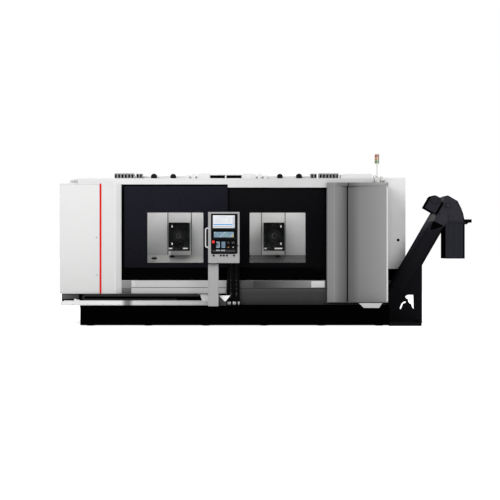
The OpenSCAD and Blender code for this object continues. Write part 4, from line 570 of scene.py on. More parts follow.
for side in ("left", "right"):
    xc = frontOf(side + "_ram")[0]
    lamp = Piece().block((xc - 0.56, front + 0.1, top - 0.026), (xc + 0.56, front + 0.2, top - 0.001), 0.004)
    for u in (-0.58, 0.56):
        lamp.block((xc + u, front + 0.09, top - 0.03), (xc + u + 0.02, front + 0.21, top - 0.001), 0.003)
    lamp.done(side + "CellLampHousing", "steel", "steel")
    glass = Piece().block((xc - 0.555, front + 0.106, top - 0.034), (xc + 0.555, front + 0.194, top - 0.024), 0.003)
    glass.done(side + "CellLamp", "cellLight", "lamp_plastic")
    lamp = Piece().block((xc - 0.5, front + 0.012, 1.1), (xc + 0.5, front + 0.04, 1.14), 0.004)
    lamp.done(side + "SillLampHousing", "steel", "steel")
    glass = Piece().block((xc - 0.49, front + 0.038, 1.104), (xc + 0.49, front + 0.046, 1.136), 0.003)
    glass.done(side + "SillLamp", "cellLightLow", "lamp_plastic")
    wipers = Piece()
    for m in (-1, 1):
        a, b = sorted((xc + m * 0.2265, xc + m * 0.246))
        wipers.block((a, wall - 0.006, 1.338), (b, wall - 0.0005, top - 0.004), 0.0015)
    wipers.done(side + "SlideWipers", "wiperGrey", "rubber")
    y0, y1 = cell["sheetFront"], wall - 0.002
    z0, z1 = slopeZ(y0), slopeZ(y1)
    sheet = Piece().plate([(y0, z0 + 0.0005), (y1, z1 + 0.0005), (y1, z1 + 0.0035), (y0 - 0.002, z0 + 0.0035)],
                          (xc - cell["halfWidth"] + 0.002, xc + cell["halfWidth"] - 0.002), "YZ", 0.0006, 1)
    for u in (-0.325, 0.0, 0.325):
        sheet.plate([(y0 + 0.002, z0 + 0.003), (y1, z1 + 0.003), (y1, z1 + 0.0055), (y0 + 0.002, z0 + 0.0055)],
                    (xc + u - 0.0015, xc + u + 0.0015), "YZ")
    # the right cell's sheet takes the darker copy, painted shade
    sheet.done(side + "FloorSheet", "floorPale" if side == "left" else "floorDark", "steel")
    x, y = xc + cell["nozzle"][side], wall - 0.03
    base = slopeZ(y)
    nozzle = Piece().spun([(0, 0), (0.05, 0), (0.05, 0.006), (0.036, 0.014), (0.026, 0.016), (0.024, 0.026),
                           (0, 0.034)], (x, y - 0.03, base - 0.014), "up")
    nozzle.block((x - 0.058, y - 0.05, base - 0.004), (x + 0.046, y - 0.012, base + 0.012), 0.004)
    nozzle.spun([(0, 0), (0.016, 0), (0.02, 0.008), (0.014, 0.016), (0.01, 0.018), (0.006, 0.046), (0.004, 0.046),
                 (0, 0.044)], (x + 0.01, y - 0.045, base + 0.012), tilted(68), 18)
    nozzle.spun([(0, 0), (0.012, 0), (0.015, 0.007), (0.01, 0.014), (0.004, 0.034), (0, 0.034)],
                (x - 0.03, y - 0.03, base + 0.008), tilted(40), 16)
    if side == "left":
        x, y = xc - 0.505, -0.172
        nozzle.spun([(0, 0), (0.022, 0), (0.056, 0.004), (0.054, 0.03), (0.036, 0.036), (0, 0.038)],
                    (x, y, slopeZ(y) - 0.012), "up")
        nozzle.head(0.01, 0.008, (x, y, slopeZ(y) + 0.025), "up")
    nozzle.done(side + "FloorNozzles", "ringBlack", "black_plastic")
print("cells fitted")

# spindle boxes: face cover, bolts, lamp lenses and a row of coolant jets along the lower edge
spindle = {"recess": 0.022, "drop": 0.263, "boltRing": 0.0815, "bolt": 0.0062, "lampAt": 0.131, "jetHeight": 1.468,
           "jetPitch": 0.026}
jetGroups = {"left": [(-0.19, 3), (0.092, 4)], "right": [(-0.186, 2), (0.016, 6)]}
for side, sign in (("left", -1), ("right", 1)):
    low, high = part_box(side + "_ram")
    xc, zc = (low.x + high.x) / 2, high.z - spindle["drop"]
    face, body = low.y + spindle["recess"], side + "_ram"
    cover = Piece().frame((low.x + 0.012, face - 0.002, low.z + 0.04), (high.x - 0.012, face + 0.001, high.z - 0.07),
                          0.01, 0.012)
    cover.collar(0.0945, 0.118, 0.004, 0.112, 0.006, (xc, face, zc), sides=40)
    cover.done(side + "SpindleCover", "spindleTrim", "black_paint", body)
    bolts, ring = Piece(), spindle["boltRing"]
    for i in range(12):
        a = radians(15 + i * 30)
        bolts.head(spindle["bolt"], 0.005, (xc + ring * cos(a), low.y, zc + ring * sin(a)), sides=12)
    bolts.heads(0.0055, 0.004, (low.x + 0.017, high.x - 0.017), face - 0.002, (low.z + 0.045, zc, high.z - 0.075))
    bolts.done(side + "SpindleBolts", "spindleTrim", "steel", body)
    lens, rims, x = Piece(), Piece(), xc + sign * spindle["lampAt"]
    for z in (zc + 0.185, zc - 0.156):
        lens.block((x - 0.0075, face - 0.0145, z - 0.019), (x + 0.0075, face - 0.007, z + 0.021), 0.004, 3)
        rims.frame((x - 0.0115, face - 0.0135, z - 0.025), (x + 0.0115, face - 0.0065, z + 0.025), 0.0035, 0.006, 4)
        rims.heads(0.0042, 0.0025, [x], face - 0.0065, (z - 0.031, z + 0.031), sides=10)
    lens.done(side + "SpindleLamps", "lampLens", "lamp_plastic", body)
    rims.done(side + "SpindleLampRims", "spindleTrim", "steel", body)
    jets, z, pitch = Piece(), spindle["jetHeight"], spindle["jetPitch"]
    for start, count in jetGroups[side]:
        x0 = xc + start
        x1 = x0 + (count - 1) * pitch
        jets.block((x0 - 0.01, face - 0.012, z - 0.012), (x1 + 0.01, face + 0.0005, z + 0.012), 0.002)
        for i in range(count):
            jets.spun([(0, 0), (0.0085, 0), (0.0095, 0.004), (0.007, 0.009), (0.004, 0.016), (0, 0.016)],
                      (x0 + i * pitch, face - 0.011, z), tilted(62), 14)
    jets.done(side + "CoolantJets", "coverSteel", "steel", body)
    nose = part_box(side + "_spindle")[0].y
    keys = Piece().spun([(0.033, 0), (0.046, 0), (0.047, 0.0012), (0.045, 0.0022), (0.034, 0.0022), (0.033, 0)],
                        (xc, nose + 0.0085, zc), sides=36)
    keys.heads(0.0042, 0.002, (xc - 0.056, xc + 0.056), nose + 0.0005, [zc], sides=10)
    keys.done(side + "SpindleNoseRing", "spindleRing", "steel", side + "_spindle")
print("spindle boxes fitted")

# signal lamp: three ribbed lenses with a painted highlight on each, the foot
tower = {"lensHeight": 0.052, "pitch": 0.058, "firstLens": 3.113, "radius": 0.0435, "bore": 0.0412, "waves": 9,
         "foot": 2.84}
low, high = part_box("signal_tower")
tx, ty, r, height, bore = low.x + 0.052, (low.y + high.y) / 2, tower["radius"], tower["lensHeight"], tower["bore"]
waves = [(r + (0.0012 if i % 2 else 0.0), height * (i + 0.5) / tower["waves"]) for i in range(tower["waves"])]
glints = Piece()
for k, name in enumerate(("Green", "Amber", "Red")):
    z = tower["firstLens"] + k * tower["pitch"]
    lens = Piece().spun([(bore, 0), (r, 0)] + waves + [(r, height), (bore, height), (bore, 0)], (tx, ty, z), "up", 36)
    lens.done("signal" + name, "lens" + name, "lamp_plastic")
    # a bright strip on each lens, a painted highlight
    glints.block((tx + 0.009, ty - r - 0.0035, z + 0.004), (tx + 0.018, ty - r + 0.004, z + height - 0.004), 0.002)
glints.done("signalHighlights", "edgeBright", "lamp_plastic")
foot = Piece().spun([(0.0125, 0), (0.038, 0), (0.038, 0.006), (0.022, 0.01), (0.016, 0.022), (0.0125, 0.022),
                     (0.0125, 0)], (tx, ty, tower["foot"]), "up")
for k in range(3):
    a = k * 2.0944
    foot.head(0.006, 0.005, (tx + 0.029 * cos(a), ty + 0.029 * sin(a), tower["foot"] + 0.0055), "up")
foot.done("signalFoot", "steel", "steel")
print("signal lamp made")

# roof: dark barrel caps, outlet slots, separators, lifting eyes and seams
roof = {"top": 2.815, "front": -0.9865, "mirror": -0.81476, "rearTop": 2.793, "guidePitch": 0.064, "seamPitch": 0.845}
top, front, rearTop = roof["top"], roof["front"], roof["rearTop"]
for s, side in ((-1, "left"), (1, "right")):
    caps = Piece()
    for offset, height, r in ((1.397, 0.036, 0.06), (1.027, 0.036, 0.056)):
        x, z = roof["mirror"] + s * offset, top + height
        start = asin((0.0015 - height) / r)
        arc = [start + (pi - 2 * start) * i / 20 for i in range(21)]
        caps.plate([(x + r * cos(a), z + r * sin(a)) for a in arc], (front - 0.004, front + 0.01), "XZ", 0.0012, 1)
        caps.spun([(0, 0), (r * 0.45, 0), (r * 0.42, 0.004), (0, 0.005)], (x, front - 0.003, z), sides=20)
    caps.done(side + "BarrelCaps", "blackPlastic", "black_plastic")
    small = Piece()
    for offset, w, h in ((0.75, 0.058, 0.07), (0.637, 0.07, 0.082)):
        x = roof["mirror"] + s * offset
        small.block((x - w / 2, front + 0.014, top + 0.001), (x + w / 2, front + 0.022, top + h), 0.002)
        small.heads(0.006, 0.004, (x - w / 4, x + w / 4), front + 0.015, [top + h * 0.75], sides=6)
    small.done(side + "RoofBlocks", "roofPale", "grey_paint")
    guides, pitch = Piece(), roof["guidePitch"]
    for near, far in ((1.785, 2.157), (1.622, 1.738)):
        a, b = sorted((roof["mirror"] + s * near, roof["mirror"] + s * far))
        for i in range(round((b - a + 0.012) / pitch)):
            x = a + i * pitch + 0.026
            guides.block((x - 0.018, front - 0.002, top + 0.014), (x + 0.018, front + 0.001, top + 0.082), 0.001, 1)
            guides.pipe([(x - 0.012, front + y, top + z) for y, z in ((0.262, 0.03), (0.4, 0.02), (0.62, 0.008))],
                        0.008, 8)
    guides.done(side + "GuideFronts", "ridgeBlack", "black_plastic")
slots = Piece()
for a, b in ((-1.132, -0.843), (-0.8148, -0.5248)):
    slots.block((a, front + 0.0085, 2.8225), (b, front + 0.0105, 2.871), 0.0006, 1)
    slots.rows((a + 0.006, front + 0.003, 2.828), (b - 0.006, front + 0.01, 2.832), 4, (0, 0, 0.011), 0.0008,
               tilted(24))
slots.done("outletGrilles", "ridgeBlack", "black_plastic")
seams = Piece().rows((-2.806, -0.84, rearTop - 0.001), (-2.794, 1.565, rearTop + 0.007), 7,
                     (roof["seamPitch"], 0, 0), 0.0015)
seams.block((-2.8, 0.36, rearTop - 0.001), (2.26, 0.372, rearTop + 0.006), 0.0015, 1)
seams.done("roofSeams", "bodyGrey", "white_paint")
ring = [(0.03 + 0.009 * cos(a), 0.009 * sin(a)) for a in [2 * pi * i / 10 for i in range(11)]]
eyes = Piece()
for x in (-2.62, 2.08):
    for y in (-0.66, 1.42):
        eyes.spun([(0, 0), (0.032, 0), (0.032, 0.008), (0.018, 0.014), (0.013, 0.03), (0, 0.032)], (x, y, rearTop),
                  "up", 20)
        eyes.spun(ring, (x, y, rearTop + 0.062), "front", 24)
eyes.done("liftingEyes", "steel", "steel")
low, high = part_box("fluid_box")
lid = Piece().frame((low.x + 0.012, low.y - 0.003, low.z + 0.012), (high.x - 0.012, low.y + 0.001, low.z + 0.072),
                    0.006, 0.004, 2)
for x in (low.x + 0.05, low.x + 0.545):
    lid.block((x - 0.012, low.y - 0.005, low.z + 0.03), (x + 0.012, low.y + 0.001, low.z + 0.054), 0.002)
for k in range(3):
    lid.button(0.02, 0.014, 0.014, 0.018, (low.x + 0.15 + k * 0.14, low.y + 0.3, high.z - 0.001), "up", 20)
lid.done("fluidBoxLid", "roofPale", "silver_paint")
vent = Piece().block((-3.838, -0.98, 2.7105), (-3.684, -0.8, 2.806), 0.004)
vent.block((-3.822, -0.984, 2.735), (-3.7, -0.978, 2.792), 0.002)
vent.done("endVentBox", "roofPale", "grey_paint")
vent = Piece().rows((-3.814, -0.988, 2.742), (-3.708, -0.982, 2.746), 4, (0, 0, 0.012), 0.0008)
vent.done("endVentSlots", "roofGrey", "grey_paint")
print("roof fitted")

# control panel: the screen with a plain layout, plate screws and the rail at the side
panel = {"rackFace": -1.5315, "keyFace": -1.533, "keyCap": 0.0005, "buttonFace": -1.5313, "grip": 0.0108,
         "bend": 0.03}
rackFace = panel["rackFace"]
low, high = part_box("display_unit")
front = low.y
sx0, sx1, sz0, sz1 = low.x + 0.035, high.x - 0.035, high.z - 0.271, high.z - 0.03
screen = Piece().block((sx0 + 0.001, front + 0.002, sz0 + 0.001), (sx1 - 0.001, front + 0.005, sz1 - 0.001), 0.0006)
screen.done("screenGlass", "screenPale", "screen_plastic", "panel")
fields = {"Blue": [(0.02, 0.235, 0.88, 0.315), (0.03, 0.8, 0.89, 0.812), (0.885, 0.03, 0.893, 0.82),
                   (0.92, 0.03, 0.985, 0.1), (0.03, 0.24, 0.036, 0.81)],
          "Grey": [(0.915, 0.16 + k * 0.125, 0.985, 0.25 + k * 0.125) for k in range(6)]}
for k, (left, right) in enumerate(((0.42, 0.12), (0.55, 0.1), (0.3, 0.15), (0.48, 0.08), (0.36, 0.13))):
    fields["Grey"] += [(u, 0.4 + k * 0.075, u + run, 0.418 + k * 0.075) for u, run in ((0.1, left), (0.68, right))]
fields["Grey"] += [(0.03 + k * 0.125, 0.06, 0.03 + k * 0.125 + 0.105, 0.17) for k in range(7)]
fields["Grey"] += [(0.03, 0.87, 0.6, 0.9)]
for name, boxes in fields.items():
    drawn = Piece()
    for u0, w0, u1, w1 in boxes:
        drawn.block((sx0 + u0 * (sx1 - sx0), front + 0.0014, sz0 + w0 * (sz1 - sz0)),
                    (sx0 + u1 * (sx1 - sx0), front + 0.0024, sz0 + w1 * (sz1 - sz0)), 0.0001, 1)
    drawn.done("screen" + name, "screen" + name, "screen_plastic", "panel")
rim = Piece().frame((sx0 - 0.004, front - 0.0015, sz0 - 0.004), (sx1 + 0.004, front + 0.001, sz1 + 0.004),
                    0.004, 0.006, 3)
rim.done("screenRim", "bezelEdge", "screen_plastic", "panel")
screws = Piece()
for unit in ("display_unit", "keyboard_unit", "machine_panel"):
    a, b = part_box(unit)
    screws.heads(0.0045, 0.0025, (a.x + 0.008, b.x - 0.008), rackFace + 0.0003, (a.z + 0.012, b.z - 0.012))
screws.done("rackScrews", "bezelEdge", "steel", "panel")
edge = Piece().block((high.x + 0.0006, rackFace + 0.0003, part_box("machine_panel")[0].z + 0.001),
                     (high.x + 0.0175, -1.526, high.z - 0.001), 0.0012)
edge.done("rackSideRail", "bezelBlack", "screen_plastic", "panel")

# the grip: one bent bar with a collar at each end, in place of the plain one
low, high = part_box("panel_handle")
bar, bend = panel["grip"], panel["bend"]
x, y, z0, z1 = low.x + bar, (low.y + high.y) / 2, low.z + bar, high.z - bar
quarter = [pi / 2 * k / 5 for k in range(6)]
run = [(high.x + 0.002, y, z1), (x + bend * 1.4, y, z1)]
run += [(x + bend - bend * sin(a), y, z1 - bend + bend * cos(a)) for a in quarter]
run += [(x + bend - bend * cos(a), y, z0 + bend - bend * sin(a)) for a in quarter]
run += [(x + bend * 1.4, y, z0), (high.x + 0.002, y, z0)]
grip = Piece().pipe(run, bar, 20)
for z in (z0, z1):
    grip.collar(bar, 0.02, 0.004, 0.0165, 0.0055, (high.x - 0.001, y, z), "left", 24)
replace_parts(grip.done("panelGrip", "whitePlastic", "white_plastic", "panel"), "panel_handle")

# keys: one piece for each colour
a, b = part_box("keyboard_unit")
foil = Piece().block((a.x + 0.054, rackFace - 0.0006, b.z - 0.152), (a.x + 0.427, rackFace + 0.0003, b.z - 0.049),
                     0.0003, 1)
foil.done("keyboardFoil", "foilBlue", "key_plastic", "panel")
caps = {"key" + colour: Piece() for colour in ("Blue", "Pale", "Green", "Yellow", "Orange", "Dark")}


def cap(finish, x, z, size):
    caps[finish].block((x + 0.0006, panel["keyFace"] - panel["keyCap"], z + 0.0006),
                       (x + size - 0.0006, panel["keyFace"] + 0.0008, z + size - 0.0006), 0.0004, 1)


for r in range(4):
    for c in range(14):
        finish = "keyBlue" if (r + c) % 7 else "keyPale"
        if c == 8 or (c == 9 and r > 1):
            finish = "keyGreen"
        elif c == 13 and r > 1:
            finish = "keyYellow"
        cap(finish, a.x + 0.06 + c * 0.0264, b.z - 0.071 - r * 0.0264, 0.02)
a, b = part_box("machine_panel")
for c in range(3):
    for r in range(5):
        finish = "keyDark" if c == 0 and r in (1, 2) else "keyPale" if (c + r) % 4 == 1 else "keyBlue"
        cap(finish, a.x + 0.099 + c * 0.024, b.z - 0.072 - r * 0.024, 0.019)
        cap("keyBlue", a.x + 0.2 + c * 0.024, b.z - 0.072 - r * 0.024, 0.019)
for finish, across in (("keyOrange", 0.318), ("keyPale", 0.408)):
    cap(finish, a.x + across, b.z - 0.168, 0.019)
for c in range(18):
    for r in range(2):
        finish = "keyPale" if r == 0 and c in (3, 4, 5, 7, 8, 9) else "keyDark"
        cap(finish, a.x + 0.026 + c * 0.024, b.z - 0.225 - r * 0.024, 0.019)
for finish, piece in caps.items():
    piece.done(finish + "Caps", finish, "key_plastic", "panel")

# knobs with their scales, the collar of the stop, the lock, the rings and crowns of the buttons, the rear cover
scales, near = Piece(), 0.0225
for name in ("feed_knob", "spindle_knob"):
    x, y, z = frontOf(name)
    for i in range(13):
        angle = radians(-45 + i * 22.5)
        far = near + (0.0035 if i % 3 else 0.006)
        scales.strip((x + near * cos(angle), z + near * sin(angle)), (x + far * cos(angle), z + far * sin(angle)),
                     0.0014, (rackFace - 0.0004, rackFace + 0.0002), 0)
scales.done("knobScales", "keyPale", "key_plastic", "panel")
for name in ("feed", "spindle"):
    x, y, z = frontOf(name + "_knob")
    mark = Piece().block((x - 0.001, y - 0.0004, z + 0.004), (x + 0.001, y + 0.0002, z + 0.0165), 0.0002, 1)
    mark.done(name + "KnobMark", "keyPale", "key_plastic", name + "_knob")
    ring = Piece().spun([(0.0174, 0), (0.019, 0), (0.0182, 0.0035), (0.0174, 0.0035), (0.0174, 0)], (x, rackFace, z),
                        sides=30)
    ring.done(name + "KnobRing", "steel", "steel", "panel")
x, y, z = frontOf("emergency_stop")
collar = Piece().collar(0.0155, 0.024, 0.003, 0.02, 0.007, (x, rackFace, z), sides=30)
collar.done("stopCollar", "blackPlastic", "black_plastic", "panel")
a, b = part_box("panel_housing")
lock = Piece().button(0.0125, 0.004, 0.009, 0.006, (b.x - 0.03, a.y + 0.0005, a.z + 0.327), sides=24)
lock.block((b.x - 0.032, a.y - 0.0085, a.z + 0.317), (b.x - 0.028, a.y - 0.0035, a.z + 0.337), 0.0008)
lock.done("panelLock", "blackPlastic", "black_plastic", "panel")
rings = Piece()
for i in range(1, 6):
    x, y, z = frontOf(f"push_button_{i}")
    rings.spun([(0.0145, 0), (0.0195, 0), (0.0185, 0.0018), (0.0145, 0.0022), (0.0145, 0)],
               (x, panel["buttonFace"], z),
               sides=26)
    crown = Piece().spun([(0, 0), (0.0125, 0), (0.0115, 0.0014), (0.006, 0.001), (0, 0.0008)], (x, y + 0.0002, z),
                         sides=24)
    crown.done(f"pushCrown{i}", "ringBlack", "black_plastic", f"push_button_{i}")
rings.done("buttonRings", "ringBlack", "black_plastic", "panel")
back = Piece().frame((a.x + 0.03, b.y - 0.002, a.z + 0.05), (b.x - 0.03, b.y + 0.0015, b.z - 0.03), 0.008, 0.01)
back.rows((a.x + 0.16, b.y - 0.001, a.z + 0.55), (b.x - 0.16, b.y + 0.003, a.z + 0.558), 9, (0, 0, 0.02), 0.0015)
back.heads(0.006, 0.004, (a.x + 0.05, b.x - 0.05), b.y + 0.0005, (a.z + 0.07, a.z + 0.48, b.z - 0.05), "back")
back.done("panelRearCover", "pillarGrey", "silver_paint", "panel")
print("control panel fitted")

# rail and carriage: painted shadow beside the pillar on the rail and on the carriage, clamp plate of the chain
# holder, trolley stop, pillar door, screws
rail = {"cover": (-0.975, -0.821), "shadeLow": 0.471, "shadeTop": 0.577, "screwPitch": 0.29}
low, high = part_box("front_rail")
x0, x1 = rail["cover"]
# dark plate on the rail right of the pillar, painted shadow of the panel
cover = Piece().block((x0, low.y - 0.002, 0.392), (x1, low.y + 0.0005, 0.469), 0.0008)
cover.done("railPaintedShadow", "shadeGrey", "grey_paint")
bolts = Piece().heads(0.0062, 0.004, [high.x - 0.3 - i * rail["screwPitch"] for i in range(10)],
                      low.y - 0.0005, [0.416])
bolts.done("railBolts", "darkSteel", "steel")
low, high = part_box("panel_pillar")
x0, z0, z1 = high.x + 0.001, rail["shadeLow"], rail["shadeTop"]
# dark triangle on the carriage's front beside the pillar, painted shadow
shade = Piece().plate([(x0, z0), (x0, z1), (high.x + 0.012, z1), (-0.852, z0)], (-1.3598, -1.358), "XZ", 0.0004, 1)
shade.done("carriagePaintedShadow", "shadeGrey", "silver_paint", "carriage")
clamp = Piece().block((-1.356, -1.2048, 0.5605), (-1.309, -1.202, 0.5945), 0.0006)
clamp.heads(0.0045, 0.003, [-1.332], -1.2045, (0.5695, 0.5855))
clamp.done("chainClampPlate", "chainPlastic", "chain_plastic", "carriage")
stop = Piece().block((-3.7, -1.3505, 0.455), (-3.66, -1.3, 0.515), 0.003)
stop.head(0.006, 0.003, (-3.68, -1.3503, 0.49), sides=12)
stop.done("trolleyStopPad", "edgeBright", "white_plastic")
# sheet at the trough's open left end, carrying troughGrey's painted light
sheet = Piece().block((-3.955, -1.115, 0.502), (-3.64, -1.113, 0.602), 0.0006)
sheet.done("troughSheet", "troughGrey", "black_paint")
door = Piece().frame((low.x + 0.028, -1.4683, 0.7), (high.x - 0.028, -1.4655, 1.08), 0.004, 0.008, 3)
door.heads(0.0055, 0.003, (low.x + 0.016, high.x - 0.016), -1.466, (0.72, 1.13))
door.done("pillarDoor", "pillarGrey", "grey_paint", "carriage")
print("rail and pillar fitted")

# utility post: wrapped hoses, couplings, the fittings at its foot
post = {"hoses": (-0.73276, -0.62676), "hoseY": -1.1985, "face": -1.1645}
hoseY, face = post["hoseY"], post["face"]
wraps = Piece()
for x in post["hoses"]:
    for z in (0.622, 0.7, 0.778, 0.856):
        wraps.spun([(0.0133, 0), (0.016, 0.002), (0.016, 0.012), (0.0133, 0.014), (0.0133, 0)],
                   (x, hoseY, z), "up", 20)
    wraps.spun([(0.0133, 0), (0.0172, 0), (0.0172, 0.032), (0.0133, 0.036), (0.0133, 0)], (x, hoseY, 0.578), "up", 20)
wraps.done("hoseClamps", "hoseRubber", "rubber")
caps, top = Piece(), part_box("service_hoses")[1].z
for x in post["hoses"]:
    caps.button(0.01, 0.003, 0.006, 0.0035, (x, hoseY, top - 0.001), "up", 18)
    for k in range(10):
        a = k * pi / 5
        caps.head(0.0022, 0.03, (x + 0.0188 * cos(a), hoseY + 0.0188 * sin(a), 1.17), "up", 6)
caps.done("couplingRidges", "hoseRubber", "rubber")
feet = Piece()
for a, b in ((-0.799, -0.732), (-0.696, -0.633), (-0.5985, -0.5655)):
    feet.block((a, -1.2065, 0.385), (b, -1.18, 0.456), 0.002)
    feet.head(0.009, 0.006, ((a + b) / 2, -1.2065, 0.4205))
feet.done("postFittings", "steel", "steel")
low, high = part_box("utility_post")
plate = Piece().frame((low.x + 0.022, face - 0.002, 0.62), (high.x - 0.022, face + 0.0008, 1.312), 0.006, 0.012, 3)
plate.heads(0.005, 0.003, (low.x + 0.012, high.x - 0.012), face + 0.0003, (0.56, 0.94, 1.3))
plate.done("postCover", "postBlack", "black_paint")
print("utility post fitted")

# tool cabinet: seam strip, a painted highlight on the bent edge, locks, header plates with their seam, the skirt
cabinet = {"seam": 1.51024, "low": 0.442, "high": 2.666, "header": 2.6672}
strip = Piece().block((1.4908, -1.103, cabinet["low"] + 0.002), (1.507, -1.088, cabinet["high"] - 0.002), 0.0008)
strip.done("cabinetSeamStrip", "ringBlack", "rubber", "cabinet_left_leaf")
# thin plate on the right leaf's bent edge, a painted highlight
edge = Piece().plate([(2.2415, -1.1672), (2.274, -1.1405), (2.273, -1.1392), (2.2408, -1.166)],
                     (cabinet["low"] + 0.001, cabinet["high"] - 0.001), "XY")
edge.done("cabinetEdgeHighlight", "edgeBright", "door_paint", "cabinet_right_leaf")
dots = Piece()
for z in (2.377, 1.671):
    dots.button(0.0065, 0.0015, 0.004, 0.0022, (1.122, -1.166, z), sides=18)
dots.done("cabinetLocks", "darkSteel", "steel", "cabinet_left_leaf")
low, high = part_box("cabinet_body")
x0, x1, z = cabinet["seam"] - 0.008, cabinet["seam"] + 0.008, cabinet["header"]
# header plates take the leaves' finishes, with their painted shade
for name, start, end in (("Left", low.x + 0.003, x0), ("Right", x1, high.x - 0.036)):
    plate = Piece().block((start, low.y - 0.0012, z), (end, low.y + 0.0005, high.z - 0.001), 0.0005)
    plate.done("cabinetHeader" + name, "leaf" + name, "door_paint")
gap = Piece().block((x0, low.y - 0.0006, z), (x1, low.y + 0.0005, high.z - 0.004), 0)
gap.done("cabinetHeaderSeam", "ringBlack", "rubber")
skirt = Piece().block((low.x + 0.001, low.y + 0.0005, 0.4205), (high.x - 0.0005, low.y + 0.0045, 0.4375), 0.0004, 1)
skirt.done("cabinetSkirt", "ringBlack", "black_paint")
print("cabinet fitted")

# end cover: blind in the cable hole, service panels in the recesses of the three plain sides
service = {"hole": (2.63224, -0.0335, 1.633), "first": -2.83176, "pitch": 0.85133, "width": 0.69133}
blind = Piece().button(0.0276, 0.002, 0.02, 0.003, service["hole"], sides=30)
blind.done("coverBlind", "ringBlack", "black_plastic")
rear, grille, screws = Piece(), Piece(), Piece()
for i in range(6):
    x0 = service["first"] + i * service["pitch"] + 0.08
    x1 = x0 + service["width"]
    for z0, z1 in ((0.52, 1.498), (1.628, 2.665)):
        rear.block((x0 + 0.006, 1.5605, z0 + 0.006), (x1 - 0.006, 1.57, z1 - 0.006), 0.002)
        screws.heads(0.0065, 0.003, (x0 + 0.026, x1 - 0.026), 1.5697, (z0 + 0.026, (z0 + z1) / 2, z1 - 0.026),
                     "back", 10)
        if z0 > 1 and i % 2 == 0:
            grille.rows((x0 + 0.12, 1.5665, z0 + 0.58), (x1 - 0.12, 1.5722, z0 + 0.592), 12, (0, 0, 0.026), 0.0015,
                        tilted(-12))
rear.done("rearServicePanels", "bodyGrey", "white_paint")
grille.done("rearGrilles", "ridgeBlack", "black_plastic")
screws.done("rearScrews", "darkSteel", "steel")
sides = Piece().block((-4.0018, -0.6605, 0.753), (-3.994, 0.1275, 2.525), 0.002)
sides.block((2.7705, 0.0995, 1.192), (2.7783, 1.3775, 2.689), 0.002)
sides.done("endServicePanels", "bodyGrey", "white_paint")
slats = Piece().rows((-4.0025, -0.5, 2.06), (-3.999, -0.03, 2.071), 16, (0, 0, 0.024), 0.001)
slats.rows((2.7755, 0.3, 2.18), (2.779, 1.18, 2.192), 16, (0, 0, 0.026), 0.001)
slats.done("endGrilles", "ridgeBlack", "black_plastic")
locks = Piece()
for side, x, y, heights in (("left", -4.0018, -0.6, (1.62, 0.98)), ("right", 2.7783, 1.318, (1.4, 2.05))):
    locks.heads(0.014, 0.0008, [x], y, heights, side, 20)
locks.done("endPanelLocks", "darkSteel", "steel")
print("service panels fitted")

# conveyor: points t along the rise and n across it, from the middle of the head
conveyor = {"head": (3.51576, 2.304), "front": -0.5965, "flange": -0.6045, "drive": -0.6405, "rise": 60,
            "motor": (-0.031, 0.281), "motorFace": -0.67, "boltPitch": 0.092}
y, flange = conveyor["front"], conveyor["flange"]


def onRise(t, n):
    c, s = cos(radians(conveyor["rise"])), sin(radians(conveyor["rise"]))
    return conveyor["head"][0] + t * c - n * s, conveyor["head"][1] + t * s + n * c


plate = Piece().plate([(3.2507, 2.0048), (3.4358, 1.9124), (3.4809, 1.9487), (3.52, 1.983), (3.53, 2.15), (3.41, 2.3),
                       (3.287, 2.1073)], (flange - 0.005, flange - 0.0005), "XZ", 0.0012, 1)
plate.done("headFramePlate", "anthracite", "anthracite_paint")
plate = Piece().plate([(3.2133, 2.15), (3.286, 2.105), (3.2495, 2.0048), (3.2133, 2.0052), (3.1348, 1.9956)],
                      (flange - 0.004, flange - 0.0005), "XZ", 0.001, 1)
plate.plate([(3.39, 2.452), (3.452, 2.47), (3.436, 2.42), (3.412, 2.372), (3.378, 2.42)], (y - 0.004, y - 0.0005),
            "XZ", 0.001, 1)
plate.done("headGussets", "gussetGrey", "anthracite_paint")
# black sheets painted as shadow below the head frame plate, below the drive and in the corner by the chute; dark
# strips along the hood's rim and the rise's lower edge
dark = Piece().plate([(3.2507, 2.0036), (3.4358, 1.9112), (3.4, 1.895), (3.38, 1.8846), (3.33, 1.868),
                      (3.278, 1.8476), (3.215, 1.836), (3.175, 1.842), (3.214, 1.968)],
                     (flange - 0.0012, flange + 0.0004), "XZ")
dark.plate([onRise(t, n) for t, n in ((-0.257, 0.098), (0.005, 0.098), (0.005, 0.142), (-0.257, 0.142))],
           (conveyor["drive"] - 0.0012, y - 0.0004), "XZ", 0.0008, 1)
dark.plate([(3.486, 1.958), (3.55, 1.99), (3.52, 2.004)], (y - 0.0016, y + 0.0004), "XZ")
hood = [(3.8522, 1.99), (3.8445, 2.047), (3.8215, 2.154), (3.7835, 2.26), (3.7148, 2.395), (3.5238, 2.5065)]
for (x0, z0), (x1, z1) in zip(hood, hood[1:]):
    w = (0.02 if x0 > 3.75 else 0.009) / hypot(x1 - x0, z1 - z0)
    nx, nz = -(z1 - z0) * w, (x1 - x0) * w
    dark.plate([(x0, z0), (x1, z1), (x1 + nx, z1 + nz), (x0 + nx, z0 + nz)], (y - 0.0012, y + 0.0004), "XZ")
dark.strip(onRise(-0.4, -0.139), onRise(-1.3, -0.139), 0.021, (flange - 0.0012, flange + 0.0004), 0)
dark.done("headPaintedShadows", "ringBlack", "anthracite_paint")
cap = Piece().spun([(0.0255, 0), (0.034, 0), (0.034, 0.06), (0.03, 0.064), (0, 0.064), (0, 0.061), (0.0255, 0.058),
                    (0.0255, 0)], (conveyor["head"][0], y - 0.0005, conveyor["head"][1]), sides=28)
cap.done("headBearingCap", "anthracite", "anthracite_paint")
bolts = Piece()
for n in (0.118, -0.118):
    for i in range(16):
        x, z = onRise(-0.5 - i * conveyor["boltPitch"], n)
        if z > 0.55:
            bolts.head(0.0078, 0.005, (x, flange - 0.0022, z))
